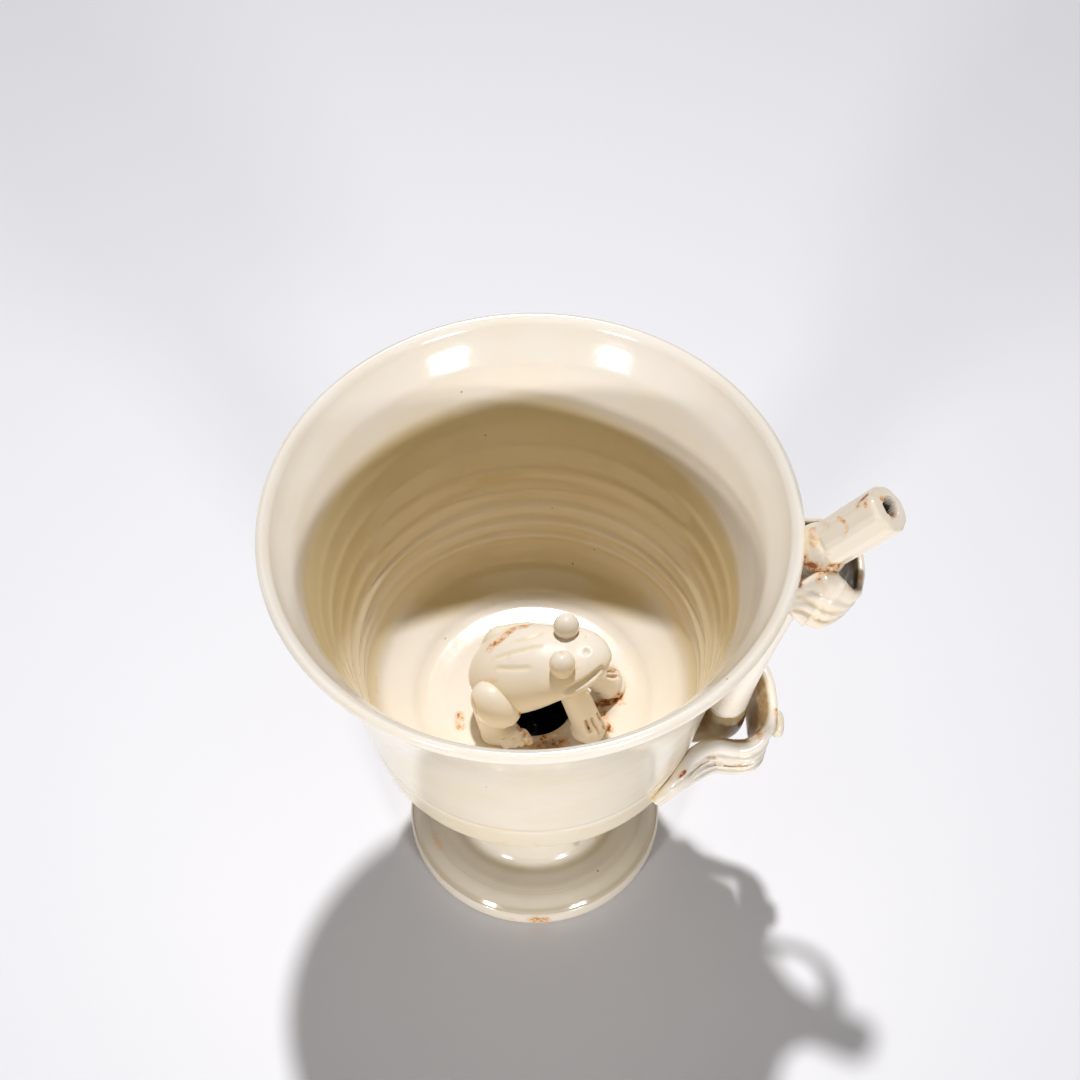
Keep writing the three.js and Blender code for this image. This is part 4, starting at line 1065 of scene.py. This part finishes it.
def mark_points(name, bm, trees):
    """Writes at each point of a piece how thick the glaze lies with painted shade laid in with it, how much rust and
    painted shadow, and how much near-black painted shade.
    """
    pooling_and_shade = hollow_values(bm, 4)
    pooling_and_shade_at, rust_and_shadow_at, painted_shade_at = (bm.verts.layers.float.new(key) for key in ("pooling_and_shade", "rust_and_shadow", "painted_shade"))
    bm.verts.ensure_lookup_table()
    for v in bm.verts:
        r, z = v.co.xy.length, v.co.z
        glaze_and_shade = max(0, pooling_and_shade[v.index]) * 0.9 + glaze_thickness_and_shade(name, v.co)
        near = min((tree.find_nearest(v.co, 2)[3] or 2 for other, tree in trees.items() if other != name), default=2)
        v[pooling_and_shade_at] = min(MOST_POOLED, glaze_and_shade + 0.4 * exp(-(near / CREVICE) ** 2))
        # painted shade on the strap's inner face, in pooled colour, rust and near-black
        if name in STRAPS_INSIDE:
            middle, darkness = STRAPS_INSIDE[name]
            inner = blend(0.1, 0.6, (middle - v.co).normalized().dot(v.normal))
            v[pooling_and_shade_at] = max(v[pooling_and_shade_at], STRAP_SHADE_POOL * inner)
            v[rust_and_shadow_at], v[painted_shade_at] = STRAP_SHADE_RUST * inner, darkness * inner
        # painted shade on the tube's elbow below the strap
        elif name == "suction_tube" and z < TUBE_FOOT:
            v[pooling_and_shade_at], v[rust_and_shadow_at], v[painted_shade_at] = 1, TUBE_FOOT_SHADE_RUST, TUBE_FOOT_SHADE_DARK
        # painted shade: the foot's inner chamber under the hole is black
        elif name == "foot" and r < 9.5 and z > 12:
            v[painted_shade_at] = 1
        # painted shadow of the frog on the floor, in rust and near-black
        elif name == "bowl" and r < 16 and 38 < z < 42.5:
            frog_shadow = sum(share * exp(-((v.co.xy - place).length / radius) ** 2)
                        for place, radius, share in FROG_SHADOWS_ON_FLOOR)
            v[rust_and_shadow_at], v[painted_shade_at] = FROG_SHADOW_RUST * min(1, frog_shadow), FROG_SHADOW_DARK * min(1, frog_shadow)
            # painted shade: the drinking hole is black inside
            if r < 8.6 and z < 41:
                v[painted_shade_at] = blend(40.6, 39.4, z)
        # painted shade down the mouthpiece's bore
        elif name == "mouthpiece":
            v[painted_shade_at] = bore_painted_shade(v.co)
    points = KDTree(len(bm.verts))
    for v in bm.verts:
        points.insert(v.co, v.index)
    points.balance()
    paint(bm, pooling_and_shade_at, POOL_LINES, points)
    paint(bm, rust_and_shadow_at, RUST_AND_SHADOW_LINES, points)
def finish_piece(name, bm, trees):
    """Marks a piece, gives it its glaze and places it in the frame."""
    mark_points(name, bm, trees)
    mesh = bpy.data.meshes.new("glazed_" + name)
    bmesh.ops.transform(bm, matrix=TO_FRAME, verts=bm.verts)
    for face in bm.faces:
        face.smooth = True
    bm.to_mesh(mesh)
    bm.free()
    mesh.materials.append(glaze_of(name))
    piece = bpy.data.objects.new("glazed_" + name, mesh)
    bpy.context.scene.collection.objects.link(piece)
    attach(piece, "root")
    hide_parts(name)
# The table and the light

TABLE_WHITE = (0.83, 0.825, 0.86, 1)
TABLE_EDGE = (0.67, 0.668, 0.698, 1)
TABLE_BOUNCE = (0.62, 0.595, 0.56, 1)
TABLE_HALF = 3
WHITEST_PLACE = (-0.03, 0.05, 0)
WHITE_REACH, EDGE_REACH = 0.04, 0.28
LAMP_DISTANCE = 2.5
LIT_HEIGHT = 60
BEHIND, FRONT = 0, 180
WORLD_COLOUR = (1, 0.99, 0.98, 1)
WORLD_STRENGTH = 0.02


def build_floor():
    """A white table with painted light, white near the cup and falling to grey at its edge, which bounces a warmer
    light on the cup.
    """
    bm = bmesh.new()
    bmesh.ops.create_grid(bm, x_segments=2, y_segments=2, size=TABLE_HALF)
    mesh = bpy.data.meshes.new("table")
    bm.to_mesh(mesh)
    bm.free()
    table = bpy.data.objects.new("table", mesh)
    bpy.context.scene.collection.objects.link(table)
    material = bpy.data.materials.new("white_table")
    material.use_nodes = True
    tree = material.node_tree
    shader = tree.nodes["Principled BSDF"]
    rays = node(tree, "ShaderNodeLightPath").outputs
    seen = maths(tree, "MAXIMUM", maths(tree, "MAXIMUM", rays["Is Camera Ray"], rays["Is Glossy Ray"]),
                 rays["Is Transmission Ray"])
    place = node(tree, "ShaderNodeTexCoord").outputs["Object"]
    from_cup = node(tree, "ShaderNodeVectorMath", links={0: place}, operation="SUBTRACT")
    from_cup.inputs[1].default_value = WHITEST_PLACE
    away = node(tree, "ShaderNodeVectorMath", links={0: from_cup.outputs["Vector"]}, operation="LENGTH")
    # painted light: the table's colour falls from white by the cup to grey at its edge
    fall = ramp(tree, away.outputs["Value"], WHITE_REACH, EDGE_REACH)
    white = mix_colour(tree, fall, TABLE_WHITE, TABLE_EDGE)
    tree.links.new(mix_colour(tree, seen, TABLE_BOUNCE, white), shader.inputs["Base Color"])
    shader.inputs["Roughness"].default_value = 0.7
    shader.inputs["Specular IOR Level"].default_value = 0.2
    mesh.materials.append(material)


def hang(data, turn, rise):
    """Hangs a lamp that lights the cup: turn from straight behind and rise above the table, in degrees."""
    turn, rise = radians(turn), radians(rise)
    away = Vector((sin(turn) * cos(rise), cos(turn) * cos(rise), sin(rise)))
    light = bpy.data.objects.new(data.name, data)
    light.location = TO_FRAME @ Vector((0, 0, LIT_HEIGHT)) + LAMP_DISTANCE * away
    light.rotation_euler = away.to_track_quat("Z", "Y").to_euler()
    bpy.context.scene.collection.objects.link(light)


def panel(name, turn, rise, size, power):
    data = bpy.data.lights.new(name, "AREA")
    data.energy = power
    data.shape = "RECTANGLE"
    data.size, data.size_y = size
    hang(data, turn, rise)


def sun(name, turn, rise, spread, power):
    data = bpy.data.lights.new(name, "SUN")
    data.energy = power
    data.angle = radians(spread)
    hang(data, turn, rise)


def build_light():
    sun("key", BEHIND, 66, 3.2, 2.72)
    panel("fill_right", FRONT - 30, 11.0, (0.44, 0.1), 31)
    panel("fill_left_upper", FRONT + 34, 12.1, (0.3, 0.045), 15)
    panel("fill_left_lower", FRONT + 34, 9.9, (0.3, 0.045), 15)
    panel("top", FRONT, 84, (1.4, 1.0), 3)
    world = bpy.data.worlds.new("studio")
    world.use_nodes = True
    background = world.node_tree.nodes["Background"]
    background.inputs["Color"].default_value = WORLD_COLOUR
    background.inputs["Strength"].default_value = WORLD_STRENGTH
    bpy.context.scene.world = world


set_camera()
build_floor()
build_light()
bpy.context.scene.view_settings.view_transform = "Standard"

pieces = build_pieces()
surfaces = {name: BVHTree.FromBMesh(bm) for name, bm in pieces.items()}
RUST_AND_SHADOW_LINES, POOL_LINES = marked_lines(RUST_AND_SHADOW, surfaces), marked_lines(POOL, surfaces)
for name, bm in pieces.items():
    finish_piece(name, bm, surfaces)
